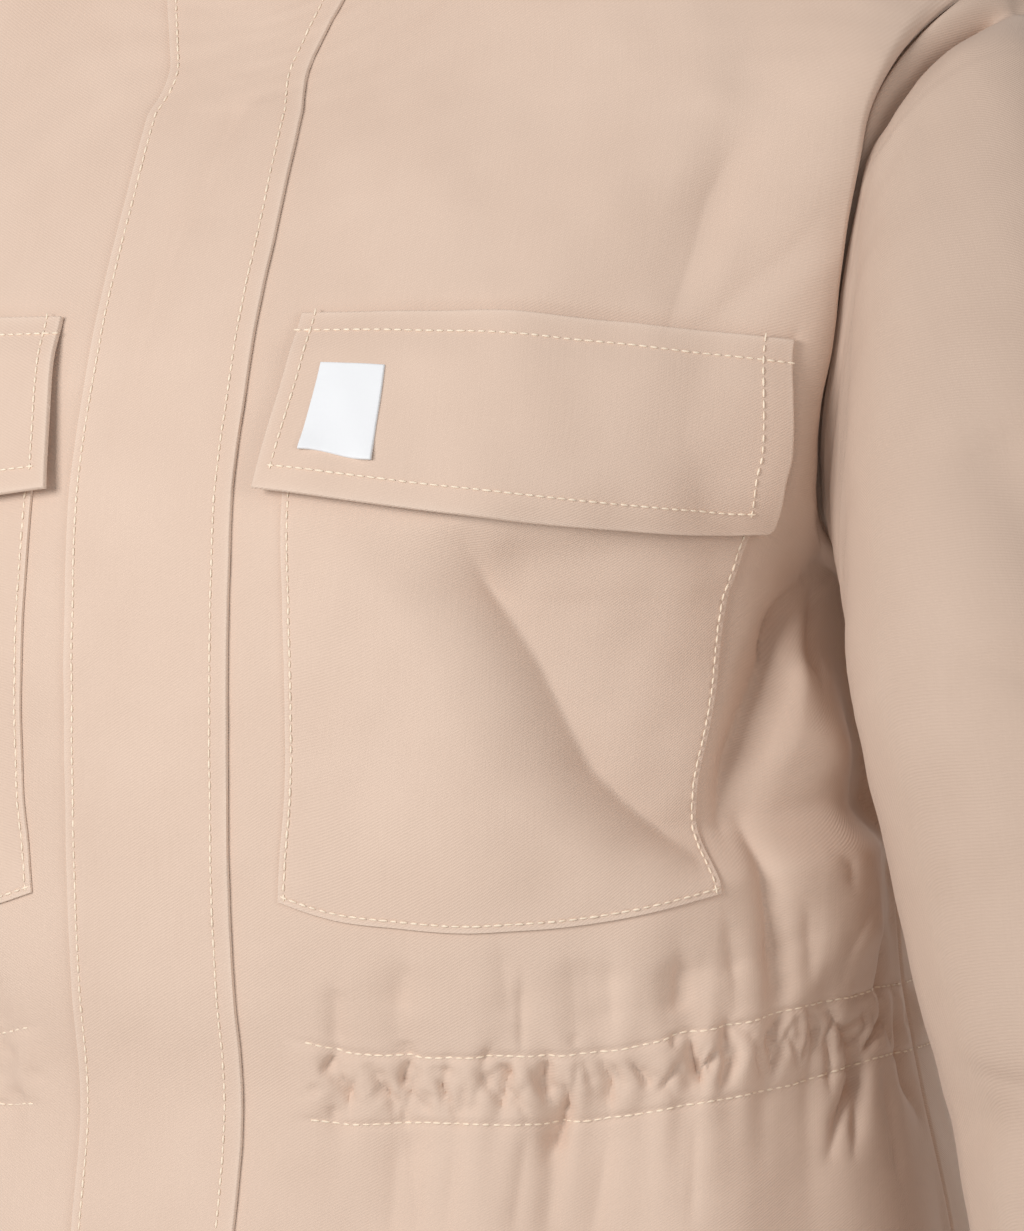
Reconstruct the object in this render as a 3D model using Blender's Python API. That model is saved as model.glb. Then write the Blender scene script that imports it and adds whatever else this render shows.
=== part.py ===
"""Hooded parka in beige twill, hollow as it is worn.

Metres, +Z up, the front faces -Y and +X is the wearer's left. The origin lies between the two high
shoulder points, where the wearer's shoulders hold the garment up.

Every panel is a wall between an outer and an inner skin. Its outer points come from body_point,
sleeve_point or hood_point, which work them out from the short tables below. What is sewn on a panel
(placket, pockets, flaps, label) is made from the same points, moved out.
"""
import math
from collections import namedtuple

import bpy
import bmesh
import numpy as np

# Cloth
WALL = 0.0015                 # panels, sleeves and hood
STRIP = 0.0020                # placket, pockets and flaps, which are two layers
LABEL_WALL = 0.0010
GAP = 0.0003                  # between pieces at a seam, or one lying on the other
SECTION_POWER = 2.5           # how square the body's sections are: 2 is an ellipse

# Lengths down from the high shoulder point
HEM_Z = -0.800
UNDERARM_Z = -0.295
YOKE_Z = -0.135               # above this row the cloth turns over the shoulder
CHANNEL_Z = -0.462
CHANNEL_WIDTH = 0.022
PLACKET_HALF = 0.0292

# Neck and shoulder
NECK_HALF = 0.085
NECK_FRONT = 0.062
NECK_FRONT_DROP = 0.085
NECK_BACK = 0.058
NECK_BACK_DROP = 0.018
SHOULDER_TIP_X = 0.252
NECK_SHARE = 0.36             # share of a yoke row that ends at the neckline
HOOD_STRIP_SHARE = 0.12       # the same at the edge of the hood's centre strip
PLACKET_SHARE = 0.11          # and at the placket's edge
PLACKET_TOP_V = 1.96
SEAM_V = 2.0 - 0.004          # where the panels stop short of the neck and shoulder seams

Section = namedtuple("Section", "z half_width front back side_rise")
BODY = (
    Section(-0.800, 0.251, 0.162, 0.147, 0.000),
    Section(-0.700, 0.246, 0.160, 0.143, 0.004),
    Section(-0.600, 0.239, 0.153, 0.136, 0.010),
    Section(-0.520, 0.230, 0.142, 0.127, 0.020),
    Section(-0.462, 0.218, 0.134, 0.116, 0.026),
    Section(-0.430, 0.214, 0.1400, 0.117, 0.022),
    Section(-0.400, 0.212, 0.1430, 0.118, 0.014),
    Section(-0.350, 0.209, 0.1440, 0.121, 0.006),
    Section(-0.300, 0.200, 0.1440, 0.124, 0.000),
    Section(-0.265, 0.198, 0.1410, 0.124, -0.004),
    Section(-0.235, 0.2045, 0.1325, 0.122, -0.007),
    Section(-0.205, 0.2140, 0.1220, 0.119, -0.008),
    Section(-0.175, 0.2240, 0.1075, 0.114, -0.008),
    Section(-0.150, 0.2320, 0.0950, 0.108, -0.008),
    Section(-0.130, 0.2370, 0.0840, 0.101, -0.008),
)

Armhole = namedtuple("Armhole", "z front back")
ARMHOLE = (
    Armhole(-0.295, 0.000, 0.000),
    Armhole(-0.280, 0.026, 0.026),
    Armhole(-0.250, 0.042, 0.046),
    Armhole(-0.200, 0.050, 0.056),
    Armhole(-0.150, 0.047, 0.052),
    Armhole(-0.130, 0.043, 0.047),
)

Ring = namedtuple("Ring", "z out fore half_width half_depth")
SLEEVE = (
    Ring(-0.330, 0.280, 0.035, 0.066, 0.080),
    Ring(-0.400, 0.296, 0.043, 0.062, 0.074),
    Ring(-0.475, 0.315, 0.052, 0.058, 0.068),
    Ring(-0.550, 0.327, 0.066, 0.054, 0.062),
    Ring(-0.610, 0.338, 0.082, 0.050, 0.056),
    Ring(-0.650, 0.344, 0.094, 0.049, 0.054),
)

# Folds of the body: a line on the cloth from (a, z) to (a, z), a being measured round from the
# centre front. A trough has a positive depth, a ridge a negative one.
Fold = namedtuple("Fold", "a0 z0 a1 z1 width depth")
FRONT_FOLDS = (
    Fold(0.238, -0.292, 0.210, -0.328, 0.013, 0.011),
    Fold(0.210, -0.328, 0.200, -0.378, 0.012, 0.008),
    Fold(0.238, -0.318, 0.218, -0.372, 0.015, -0.007),
    Fold(0.215, -0.385, 0.215, -0.440, 0.014, 0.006),
    Fold(0.250, -0.368, 0.252, -0.430, 0.024, -0.011),
    Fold(0.130, -0.195, 0.180, -0.125, 0.020, -0.004),
    Fold(0.085, -0.480, 0.075, -0.620, 0.024, 0.007),
    Fold(0.150, -0.480, 0.165, -0.700, 0.026, 0.009),
    Fold(0.225, -0.480, 0.240, -0.660, 0.026, 0.008),
)
BACK_FOLDS = (
    Fold(0.215, -0.290, 0.120, -0.400, 0.024, 0.009),
    Fold(0.060, -0.380, 0.050, -0.445, 0.018, 0.005),
    Fold(0.050, -0.480, 0.060, -0.680, 0.028, 0.008),
    Fold(0.130, -0.480, 0.120, -0.640, 0.026, 0.008),
    Fold(0.205, -0.480, 0.225, -0.700, 0.026, 0.008),
)

# Gathers of the waist channel: place round from the centre front (or back), lean per metre of
# height, half width, depth, and how far they run above and below the channel.
Gather = namedtuple("Gather", "a lean half depth above below")
FRONT_GATHERS = (
    Gather(0.064, 0.06, 0.005, 0.0030, 0.030, 0.030),
    Gather(0.088, -0.12, 0.005, 0.0026, 0.020, 0.030),
    Gather(0.103, 0.06, 0.005, 0.0022, 0.016, 0.024),
    Gather(0.118, 0.09, 0.005, 0.0032, 0.030, 0.036),
    Gather(0.134, -0.12, 0.005, 0.0034, 0.034, 0.060),
    Gather(0.151, 0.10, 0.005, 0.0026, 0.022, 0.030),
    Gather(0.167, -0.06, 0.005, 0.0030, 0.026, 0.050),
    Gather(0.182, 0.12, 0.005, 0.0036, 0.040, 0.044),
    Gather(0.197, -0.06, 0.005, 0.0032, 0.026, 0.030),
    Gather(0.215, 0.12, 0.005, 0.0036, 0.036, 0.038),
    Gather(0.236, 0.06, 0.005, 0.0036, 0.030, 0.050),
    Gather(0.255, -0.06, 0.005, 0.0032, 0.034, 0.040),
)
BACK_GATHERS = (
    Gather(0.014, 0.06, 0.006, 0.0030, 0.030, 0.040),
    Gather(0.036, -0.12, 0.006, 0.0034, 0.024, 0.036),
    Gather(0.057, 0.12, 0.006, 0.0028, 0.030, 0.050),
    Gather(0.079, -0.06, 0.006, 0.0034, 0.036, 0.034),
    Gather(0.100, 0.18, 0.006, 0.0030, 0.024, 0.044),
    Gather(0.122, -0.12, 0.006, 0.0036, 0.032, 0.036),
    Gather(0.144, 0.12, 0.006, 0.0030, 0.030, 0.050),
    Gather(0.166, -0.18, 0.006, 0.0034, 0.024, 0.040),
    Gather(0.188, 0.06, 0.006, 0.0030, 0.034, 0.034),
    Gather(0.210, -0.06, 0.006, 0.0034, 0.028, 0.044),
)

# Chest pockets, measured on the front's cloth
POCKET_A = (0.0465, 0.198)
POCKET_Z = (-0.407, -0.2215)
FLAP_A = (0.0400, 0.212)
FLAP_Z = (-0.271, -0.205)
FLAP_STAND = 0.0030           # how far the flap's free edge stands off what is under it
LABEL_A = (0.0530, 0.0770)
LABEL_Z = (-0.2520, -0.2215)

# The lip that the front makes where the sleeve sets back behind it
LIP_HEIGHT = 0.010
LIP_CREST = 0.011
LIP_REACH = 0.042
LIP_LEAN = 0.0015

# How the sleeve sets off from the armhole seam, as an angle from the way the panel's cloth leaves
SLEEVE_SET_FRONT = math.radians(98)
SLEEVE_SET_BACK = math.radians(92)
SLEEVE_PUSH = 0.035
SLEEVE_PUSH_LOW = 0.015
SLEEVE_ROWS = (0.0, 0.10, 0.22, 0.38, 0.58, 0.78, 1.0, 1.13, 1.26, 1.39, 1.52, 1.65, 1.78, 1.89, 2.0)
SLEEVE_FOLDS = (
    Fold(0.30, 0.75, 0.42, 1.10, 0.050, 0.006),
    Fold(0.16, 1.42, 0.34, 1.50, 0.045, 0.005),
    Fold(0.14, 1.66, 0.30, 1.72, 0.040, 0.004),
    Fold(0.62, 0.80, 0.72, 1.20, 0.050, 0.006),
)

# The hood, raised: its face edge up from the chin, its crown seam back from the forehead, and the
# seam down the back, all at the edge of the centre strip
Place = namedtuple("Place", "x y z")
HOOD_FACE = (
    Place(0.0006, -0.062, -0.085),
    Place(0.0016, -0.078, -0.045),
    Place(0.0400, -0.094, 0.010),
    Place(0.0800, -0.102, 0.085),
    Place(0.0880, -0.106, 0.165),
    Place(0.0720, -0.110, 0.235),
    Place(0.0425, -0.112, 0.275),
)
HOOD_CROWN = (
    Place(0.0425, -0.112, 0.275),
    Place(0.0430, -0.055, 0.308),
    Place(0.0430, 0.010, 0.318),
    Place(0.0430, 0.072, 0.296),
    Place(0.0425, 0.122, 0.240),
    Place(0.0425, 0.140, 0.170),
)
HOOD_BACK = (
    Place(0.0425, 0.050, -0.015),
    Place(0.0425, 0.078, 0.030),
    Place(0.0425, 0.112, 0.080),
    Place(0.0425, 0.135, 0.125),
    Place(0.0425, 0.140, 0.170),
)
HOOD_NECK_K = 0.58            # share of the hood's lower edge that lies on the front's neckline
HOOD_SWELL = 0.020
HOOD_ARCH = 0.008
HOOD_FOLDS = (
    Fold(0.15, 0.10, 0.55, 0.22, 0.080, 0.007),
    Fold(0.55, 0.12, 0.85, 0.34, 0.080, 0.006),
)

BEIGE = (0.66, 0.50, 0.41)
LABEL_WHITE = (0.90, 0.91, 0.92)


# ---------------------------------------------------------------- curves
def through(knots, values, at):
    """A smooth curve through a table's values: cubic pieces with centred slopes."""
    knots = np.asarray(knots, float)
    values = np.asarray(values, float)
    slopes = np.gradient(values, knots, axis=0)
    at = np.clip(np.asarray(at, float), knots[0], knots[-1])
    k = np.clip(np.searchsorted(knots, at, side="right") - 1, 0, len(knots) - 2)
    step = knots[k + 1] - knots[k]
    t = (at - knots[k]) / step
    if values.ndim > 1:
        step = step[..., None]
        t = t[..., None]
    return hermite(values[k], slopes[k] * step, values[k + 1], slopes[k + 1] * step, t)


def hermite(p0, d0, p1, d1, t):
    """The cubic from p0 to p1 with end directions d0 and d1."""
    return ((2 * t**3 - 3 * t**2 + 1) * p0 + (t**3 - 2 * t**2 + t) * d0
            + (3 * t**2 - 2 * t**3) * p1 + (t**3 - t**2) * d1)


def column(table, name):
    return [getattr(row, name) for row in table]


def ease(t):
    """Rises smoothly from 0 to 1."""
    t = np.clip(t, 0.0, 1.0)
    return t * t * (3 - 2 * t)


# ---------------------------------------------------------------- body sections
TABLE_Z = np.linspace(HEM_Z, BODY[-1].z, 500)
TABLE_U = np.linspace(0.0, 1.0, 201)


def section_table(face):
    """Half sections of the front or back, spaced evenly along the cloth, for every height."""
    half = through(column(BODY, "z"), column(BODY, "half_width"), TABLE_Z)
    depth = through(column(BODY, "z"), column(BODY, face), TABLE_Z)
    seam = through(column(ARMHOLE, "z"), column(ARMHOLE, face), TABLE_Z)
    xs = np.empty((len(TABLE_Z), len(TABLE_U)))
    ys = np.empty_like(xs)
    lengths = np.empty(len(TABLE_Z))
    for row, (w, d, s) in enumerate(zip(half, depth, seam)):
        last = math.acos((s / d) ** (SECTION_POWER / 2))
        turn = np.linspace(0.0, 1.0, 600) ** 1.5 * last
        x = w * np.sin(turn) ** (2 / SECTION_POWER)
        y = d * np.cos(turn) ** (2 / SECTION_POWER)
        run = np.concatenate([[0.0], np.cumsum(np.hypot(np.diff(x), np.diff(y)))])
        lengths[row] = run[-1]
        xs[row] = np.interp(TABLE_U * run[-1], run, x)
        ys[row] = np.interp(TABLE_U * run[-1], run, y)
    return xs, ys, lengths


SECTIONS = {"front": section_table("front"), "back": section_table("back")}


def row_length(face, z):
    """Cloth length of a half row, centre to side."""
    return np.interp(z, TABLE_Z, SECTIONS[face][2])


def section_point(face, u, z):
    """A point of the plain section at height z, u of the way round to the side."""
    xs, ys, _ = SECTIONS[face]
    fz = np.clip((z - TABLE_Z[0]) / (TABLE_Z[1] - TABLE_Z[0]), 0, len(TABLE_Z) - 1.001)
    fu = np.clip(u, 0, 1) * (len(TABLE_U) - 1.001)
    i = fz.astype(int)
    j = fu.astype(int)
    p = fz - i
    q = fu - j

    def blend(grid):
        low = grid[i, j] * (1 - q) + grid[i, j + 1] * q
        high = grid[i + 1, j] * (1 - q) + grid[i + 1, j + 1] * q
        return low * (1 - p) + high * p

    side = -1.0 if face == "front" else 1.0
    return np.stack([blend(xs), side * blend(ys), z], axis=-1)


def shoulder_z(x):
    """Height of the shoulder seam at x."""
    past = x - NECK_HALF
    return -0.30 * past - 1.3 * past**2


def top_point(face, u):
    """The neckline up to the high shoulder point, then the shoulder seam out to its tip."""
    turn = np.clip(u / NECK_SHARE, 0, 1) * math.pi / 2
    out = np.clip((u - NECK_SHARE) / (1 - NECK_SHARE), 0, 1)
    reach, drop = (-NECK_FRONT, NECK_FRONT_DROP) if face == "front" else (NECK_BACK, NECK_BACK_DROP)
    x = NECK_HALF * np.sin(turn) + (SHOULDER_TIP_X - NECK_HALF) * out
    y = reach * np.cos(turn)
    z = np.where(out > 0, shoulder_z(x), -drop * np.cos(turn) ** 1.5)
    return np.stack([x, y, z], axis=-1)


def plain_point(face, u, v):
    """The body without folds: v is 0 at the hem, 1 at the yoke row and 2 at the neck or shoulder."""
    u = np.asarray(u, float)
    v = np.broadcast_to(np.asarray(v, float), u.shape)
    row = HEM_Z + np.minimum(v, 1.0) * (YOKE_Z - HEM_Z)
    rise = through(column(BODY, "z"), column(BODY, "side_rise"), row) * ease((u - 0.45) / 0.5)
    low = section_point(face, u, row + rise)
    t = np.clip(v - 1.0, 0.0, 1.0)[..., None]
    below = section_point(face, u, row + rise - 0.012)
    top = top_point(face, u)
    span = np.linalg.norm(top - low, axis=-1, keepdims=True)
    start = (low - below) / np.linalg.norm(low - below, axis=-1, keepdims=True)
    back = 1.0 if face == "front" else -1.0
    over = ease((u - NECK_SHARE * 0.6) / (NECK_SHARE * 0.8))[..., None]
    neck_way = np.array([0.0, 0.35 * back, 0.94])
    shoulder_way = np.array([0.0, 0.97 * back, 0.24])
    finish = neck_way * (1 - over) + shoulder_way * over
    yoke = hermite(low, start * span, top, finish * span * 0.9, t)
    return np.where(t > 0, yoke, low)


def fold_depth(folds, a, z):
    """Depth of the folds at a place on the cloth, positive inwards."""
    total = np.zeros_like(a)
    for fold in folds:
        along = np.array([fold.a1 - fold.a0, fold.z1 - fold.z0])
        length2 = along @ along
        t = ((a - fold.a0) * along[0] + (z - fold.z0) * along[1]) / length2
        off = np.hypot(a - fold.a0 - np.clip(t, 0, 1) * along[0],
                       z - fold.z0 - np.clip(t, 0, 1) * along[1])
        total = total + fold.depth * np.exp(-(off / fold.width) ** 2)
    return total


def gather_middle(gather, z):
    """Where a gather's bottom runs at height z: it leans near the channel, then hangs straight."""
    return gather.a + gather.lean * np.clip(z - CHANNEL_Z, -0.02, 0.02)


def gather_depth(gathers, a, z):
    """Depth of the waist gathers, deepest in the channel."""
    total = np.zeros_like(a)
    for gather in gathers:
        middle = gather_middle(gather, z)
        reach = np.where(z > CHANNEL_Z, gather.above, gather.below)
        fade = np.exp(-((z - CHANNEL_Z) / reach) ** 2)
        total = total + gather.depth * fade * np.exp(-((a - middle) / gather.half) ** 2)
    return total


def body_point(face, u, v):
    """A point on the body's outside, folds and gathers included."""
    u = np.asarray(u, float)
    v = np.broadcast_to(np.asarray(v, float), u.shape)
    small = 0.002
    here = plain_point(face, u, v)
    across = plain_point(face, np.minimum(u + small, 1), v) - plain_point(face, np.maximum(u - small, 0), v)
    up = plain_point(face, u, np.minimum(v + small, 2)) - plain_point(face, u, np.maximum(v - small, 0))
    across = across / np.linalg.norm(across, axis=-1, keepdims=True)
    out = np.cross(across, up)
    out = out / np.linalg.norm(out, axis=-1, keepdims=True)
    if face == "back":
        out = -out
    row = HEM_Z + np.minimum(v, 1.0) * (YOKE_Z - HEM_Z)
    z = row + np.clip(v - 1, 0, 1) * 0.12
    length = row_length(face, row)
    a = u * length
    folds, gathers = (FRONT_FOLDS, FRONT_GATHERS) if face == "front" else (BACK_FOLDS, BACK_GATHERS)
    from_side = length - a
    keep = ease(from_side / 0.030) * ease(a / 0.012 if face == "back" else (a - PLACKET_HALF) / 0.012)
    keep = np.where(v > 1, keep * ease((2.0 - v) / 0.5), keep)
    depth = (fold_depth(folds, a, z) + gather_depth(gathers, a, z)) * keep
    lip = ease((row - UNDERARM_Z) / 0.045) * ease((1.75 - v) / 0.6)
    bump = np.where(from_side < LIP_CREST,
                    np.sin(np.clip(from_side / LIP_CREST, 0, 1) * math.pi / 2),
                    np.cos(np.clip((from_side - LIP_CREST) / LIP_REACH, 0, 1) * math.pi / 2) ** 2)
    lift = lip * bump * (LIP_HEIGHT if face == "front" else LIP_HEIGHT * 0.5)
    lean = lip * bump * (LIP_LEAN if face == "front" else LIP_LEAN * 0.5)
    return here + out * (lift - depth)[..., None] + across * lean[..., None]


def body_grid(face, us, v, wall_from=0.0, wall_to=WALL):
    """Outer and inner points of one row of the body."""
    us = np.asarray(us, float)
    small = 0.0015
    across = body_point(face, np.minimum(us + small, 1), v) - body_point(face, np.maximum(us - small, 0), v)
    up = (body_point(face, us, np.minimum(v + small, 2)) - body_point(face, us, np.maximum(v - small, 0)))
    out = np.cross(across, up)
    out = out / np.linalg.norm(out, axis=-1, keepdims=True)
    if face == "back":
        out = -out
    if v >= SEAM_V:
        # Along the shoulder seam both panels are thick in the seam's own plane.
        out[..., 1] = np.where(us > NECK_SHARE - 1e-6, 0.0, out[..., 1])
        out = out / np.linalg.norm(out, axis=-1, keepdims=True)
    here = body_point(face, us, v)
    return here - out * wall_from, here - out * wall_to


# ---------------------------------------------------------------- rows and columns
Row = namedtuple("Row", "v us")

PLAIN_ROWS_Z = (HEM_Z, -0.740, -0.680, -0.620, -0.565, -0.522)
CHANNEL_ROWS_Z = (-0.490, CHANNEL_Z - CHANNEL_WIDTH / 2, CHANNEL_Z, CHANNEL_Z + CHANNEL_WIDTH / 2,
                  -0.434)
CHEST_ROWS_Z = (POCKET_Z[0], -0.380, -0.353, -0.325, UNDERARM_Z, FLAP_Z[0], LABEL_Z[0], POCKET_Z[1],
                FLAP_Z[1], -0.170, YOKE_Z)
YOKE_ROWS = (1.25, 1.50, 1.75, 2.0)
FRONT_COLUMNS = (0.0, 0.0140, PLACKET_HALF, FLAP_A[0], POCKET_A[0], LABEL_A[0], LABEL_A[1], 0.100,
                 0.124, 0.149, 0.174, POCKET_A[1], FLAP_A[1])
FRONT_SHARES = (0.30, 0.58, 0.80, 1.0)
BACK_COLUMNS = (0.0, 0.030, 0.060, 0.090, 0.120, 0.150, 0.180)
BACK_SHARES = (0.35, 0.62, 0.82, 1.0)
SHOULDER_SHARES = (NECK_SHARE, 0.48, 0.60, 0.72, 0.84, 0.93, 1.0)
YOKE_SHARES = (0.0, 0.055, PLACKET_SHARE, 0.19, 0.275) + SHOULDER_SHARES
BACK_YOKE_SHARES = (0.0, 0.06, HOOD_STRIP_SHARE, 0.20, 0.28) + SHOULDER_SHARES


SIDE_K = [HOOD_NECK_K * u / NECK_SHARE for u in YOKE_SHARES[:6]]
BACK_K = [1 - (1 - HOOD_NECK_K) * (u - HOOD_STRIP_SHARE) / (NECK_SHARE - HOOD_STRIP_SHARE)
          for u in BACK_YOKE_SHARES[4:1:-1]]
HOOD_COLUMNS = SIDE_K + BACK_K
HOOD_ROWS = (0.0, 0.12, 0.25, 0.38, 0.50, 0.62, 0.75, 0.88, 1.0)
HOOD_RUNS = HOOD_COLUMNS + [2.0 - q for q in HOOD_ROWS[-2::-1]]
HOOD_ACROSS = (-1.0, -0.5, 0.0, 0.5, 1.0)


def row_z_to_v(z):
    return (z - HEM_Z) / (YOKE_Z - HEM_Z)


def plain_row(face, v):
    """Columns of a plain row: set distances from the centre, then shares of what is left."""
    length = float(row_length(face, HEM_Z + min(v, 1.0) * (YOKE_Z - HEM_Z)))
    if v > 1.0 and face == "back":
        return Row(v, list(BACK_YOKE_SHARES))
    if v > 1.0:
        return Row(v, list(YOKE_SHARES))
    fixed, shares = (FRONT_COLUMNS, FRONT_SHARES) if face == "front" else (BACK_COLUMNS, BACK_SHARES)
    rest = [fixed[-1] + (length - fixed[-1]) * share for share in shares]
    return Row(v, [a / length for a in list(fixed) + rest])


def gathered_row(face, z):
    """Columns of a row in the channel: the bottom, both flanks and the crest of each gather."""
    length = float(row_length(face, z))
    gathers = FRONT_GATHERS if face == "front" else BACK_GATHERS
    places = [0.0, 0.0140, PLACKET_HALF, 0.045] if face == "front" else [0.0]
    for k, gather in enumerate(gathers):
        middle = gather_middle(gather, z)
        places += [middle - gather.half * 0.8, middle, middle + gather.half * 0.8]
        if k + 1 < len(gathers):
            places.append((middle + gather_middle(gathers[k + 1], z)) / 2)
    left = length - places[-1]
    places += [places[-1] + left * 0.5, length]
    return Row(row_z_to_v(z), [a / length for a in places])


def body_rows(face):
    rows = [plain_row(face, row_z_to_v(z)) for z in PLAIN_ROWS_Z]
    rows += [gathered_row(face, z) for z in CHANNEL_ROWS_Z]
    rows += [plain_row(face, row_z_to_v(z)) for z in CHEST_ROWS_Z]
    rows += [plain_row(face, v) for v in YOKE_ROWS]
    return rows


# ---------------------------------------------------------------- solids
def material(name, colour, rough):
    shade = bpy.data.materials.new(name)
    shade.use_nodes = True
    shader = shade.node_tree.nodes["Principled BSDF"]
    shader.inputs["Base Color"].default_value = (*colour, 1.0)
    shader.inputs["Roughness"].default_value = rough
    return shade


def strip_faces(low, high, low_marks, high_marks):
    """Triangles between two rows of points whose marks run from 0 to 1, also of unlike counts."""
    faces = []
    i = 0
    j = 0
    while i < len(low) - 1 or j < len(high) - 1:
        step_low = j == len(high) - 1 or (i < len(low) - 1 and low_marks[i + 1] <= high_marks[j + 1])
        if step_low:
            faces.append((low[i], low[i + 1], high[j]))
            i += 1
        else:
            faces.append((low[i], high[j + 1], high[j]))
            j += 1
    return faces


def wall_object(name, outer, inner, marks, shade, home, ring=False):
    """A closed wall between two skins given row by row; ring joins each row to a tube."""
    verts = []
    skins = []
    for skin in (outer, inner):
        numbered = []
        for row in skin:
            first = len(verts)
            verts.extend(tuple(point) for point in row)
            ids = list(range(first, len(verts)))
            numbered.append(ids + [first] if ring else ids)
        skins.append(numbered)
    out_rows, in_rows = skins
    faces = []
    for k in range(len(out_rows) - 1):
        faces += strip_faces(out_rows[k], out_rows[k + 1], marks[k], marks[k + 1])
        faces += [face[::-1] for face in strip_faces(in_rows[k], in_rows[k + 1], marks[k], marks[k + 1])]
        if not ring:
            for end in (0, -1):
                a, b = out_rows[k][end], out_rows[k + 1][end]
                c, d = in_rows[k + 1][end], in_rows[k][end]
                faces += [(a, b, c), (a, c, d)]
    for row in (0, -1):
        for i in range(len(out_rows[row]) - 1):
            a, b = out_rows[row][i], out_rows[row][i + 1]
            c, d = in_rows[row][i + 1], in_rows[row][i]
            faces += [(a, b, c), (a, c, d)]
    mesh = bpy.data.meshes.new(name)
    mesh.from_pydata(verts, [], faces)
    shape = bmesh.new()
    shape.from_mesh(mesh)
    bmesh.ops.recalc_face_normals(shape, faces=shape.faces)
    shape.to_mesh(mesh)
    shape.free()
    mesh.materials.append(shade)
    made = bpy.data.objects.new(name, mesh)
    home.objects.link(made)
    return made


def mirrored(points, side):
    return np.asarray(points) * np.array([side, 1.0, 1.0])


def inset(us, v, face, ends):
    """Moves a row's end columns in by half a seam gap."""
    length = float(row_length(face, HEM_Z + min(v, 1.0) * (YOKE_Z - HEM_Z)))
    us = list(us)
    if ends[0]:
        us[0] += GAP * 0.7 / length
    if ends[1]:
        us[-1] -= GAP * 0.7 / length
    return us


def build_front(name, side, shade, home):
    outer = []
    inner = []
    marks = []
    for row in body_rows("front"):
        v = min(row.v, SEAM_V)
        us = inset(row.us, row.v, "front", (True, True))
        out_points, in_points = body_grid("front", us, v)
        outer.append(mirrored(out_points, side))
        inner.append(mirrored(in_points, side))
        marks.append(row.us)
    return wall_object(name, outer, inner, marks, shade, home)


def build_back(shade, home):
    outer = []
    inner = []
    marks = []
    for row in body_rows("back"):
        v = min(row.v, SEAM_V)
        us = inset(row.us, row.v, "back", (False, True))
        out_points, in_points = body_grid("back", us, v)
        for skin, points in ((outer, out_points), (inner, in_points)):
            skin.append(np.concatenate([mirrored(points, -1)[:0:-1], points]))
        marks.append([-u for u in row.us[:0:-1]] + list(row.us))
    return wall_object("back", outer, inner, marks, shade, home)


# ---------------------------------------------------------------- pieces sewn on the front
def patch(name, side, z_range, a_range, lift, thick, shade, home):
    """A piece lying on the front: its columns and rows are the front's own, moved out by lift(z)."""
    outer = []
    inner = []
    marks = []
    for row in body_rows("front"):
        z = HEM_Z + row.v * (YOKE_Z - HEM_Z)
        if row.v > 1.001 or not z_range[0] - 1e-6 <= z <= z_range[1] + 1e-6:
            continue
        length = float(row_length("front", z))
        us = [u for u in row.us if a_range[0] - 1e-6 <= u * length <= a_range[1] + 1e-6]
        out_points, in_points = body_grid("front", us, row.v, -(lift(z) + thick), -lift(z))
        outer.append(mirrored(out_points, side))
        inner.append(mirrored(in_points, side))
        marks.append(us)
    return wall_object(name, outer, inner, marks, shade, home)


def flap_lift(z):
    """The flap leaves its seam, clears the pocket under it and stands off at its free edge."""
    down = (FLAP_Z[1] - z) / (FLAP_Z[1] - FLAP_Z[0])
    return GAP + (GAP + STRIP) * float(ease(down / 0.27)) + FLAP_STAND * max(down, 0.0) ** 1.3


def build_placket(shade, home):
    outer = []
    inner = []
    marks = []
    for row in body_rows("front"):
        v = min(row.v, PLACKET_TOP_V)
        share = PLACKET_SHARE
        if row.v <= 1.001:
            share = PLACKET_HALF / float(row_length("front", HEM_Z + row.v * (YOKE_Z - HEM_Z)))
        us = [u for u in row.us if u <= share + 1e-6]
        out_points, in_points = body_grid("front", us, v, -(GAP + STRIP), -GAP)
        for skin, points in ((outer, out_points), (inner, in_points)):
            skin.append(np.concatenate([mirrored(points, -1)[:0:-1], points]))
        marks.append([-u for u in us[:0:-1]] + us)
    return wall_object("placket", outer, inner, marks, shade, home)


def build_label(shade, home):
    patch("label", 1.0, LABEL_Z, LABEL_A, lambda z: flap_lift(z) + STRIP + GAP, LABEL_WALL, shade, home)


# ---------------------------------------------------------------- sleeves
def armhole(share):
    """The armhole seam: share runs from the underarm up the front, over the shoulder, down the back.

    Gives the seam's point, the way the panel's cloth leaves it, and the way out from the body."""
    share = np.asarray(share, float)
    near = np.minimum(share, 1.0 - share) * 2.0
    start = row_z_to_v(UNDERARM_Z)
    v = start + (2.0 - start) * near
    one = np.ones_like(v)
    found = {}
    for face in ("front", "back"):
        edge = plain_point(face, one, v)
        leave = edge - plain_point(face, one * 0.985, v)
        up = plain_point(face, one, np.minimum(v + 0.01, 2)) - plain_point(face, one, v - 0.01)
        out = np.cross(leave, up) * (1.0 if face == "front" else -1.0)
        found[face] = (edge, leave / np.linalg.norm(leave, axis=-1, keepdims=True),
                       out / np.linalg.norm(out, axis=-1, keepdims=True))
    ahead = (share <= 0.5)[..., None]
    seam, leave, out = (np.where(ahead, f, b) for f, b in zip(found["front"], found["back"]))
    # At the underarm and at the shoulder tip both panels meet, so their directions are shared.
    low = 1.0 - ease(near / 0.12)[..., None]
    tip = ease((near - 0.86) / 0.14)[..., None]
    leave = leave * (1 - low) + np.array([0.30, 0.0, 0.95]) * low
    leave = leave * (1 - tip) + np.array([0.81, 0.0, -0.59]) * tip
    out = out * (1 - tip) + np.array([0.59, 0.0, 0.81]) * tip
    return (seam, leave / np.linalg.norm(leave, axis=-1, keepdims=True),
            out / np.linalg.norm(out, axis=-1, keepdims=True))


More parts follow.
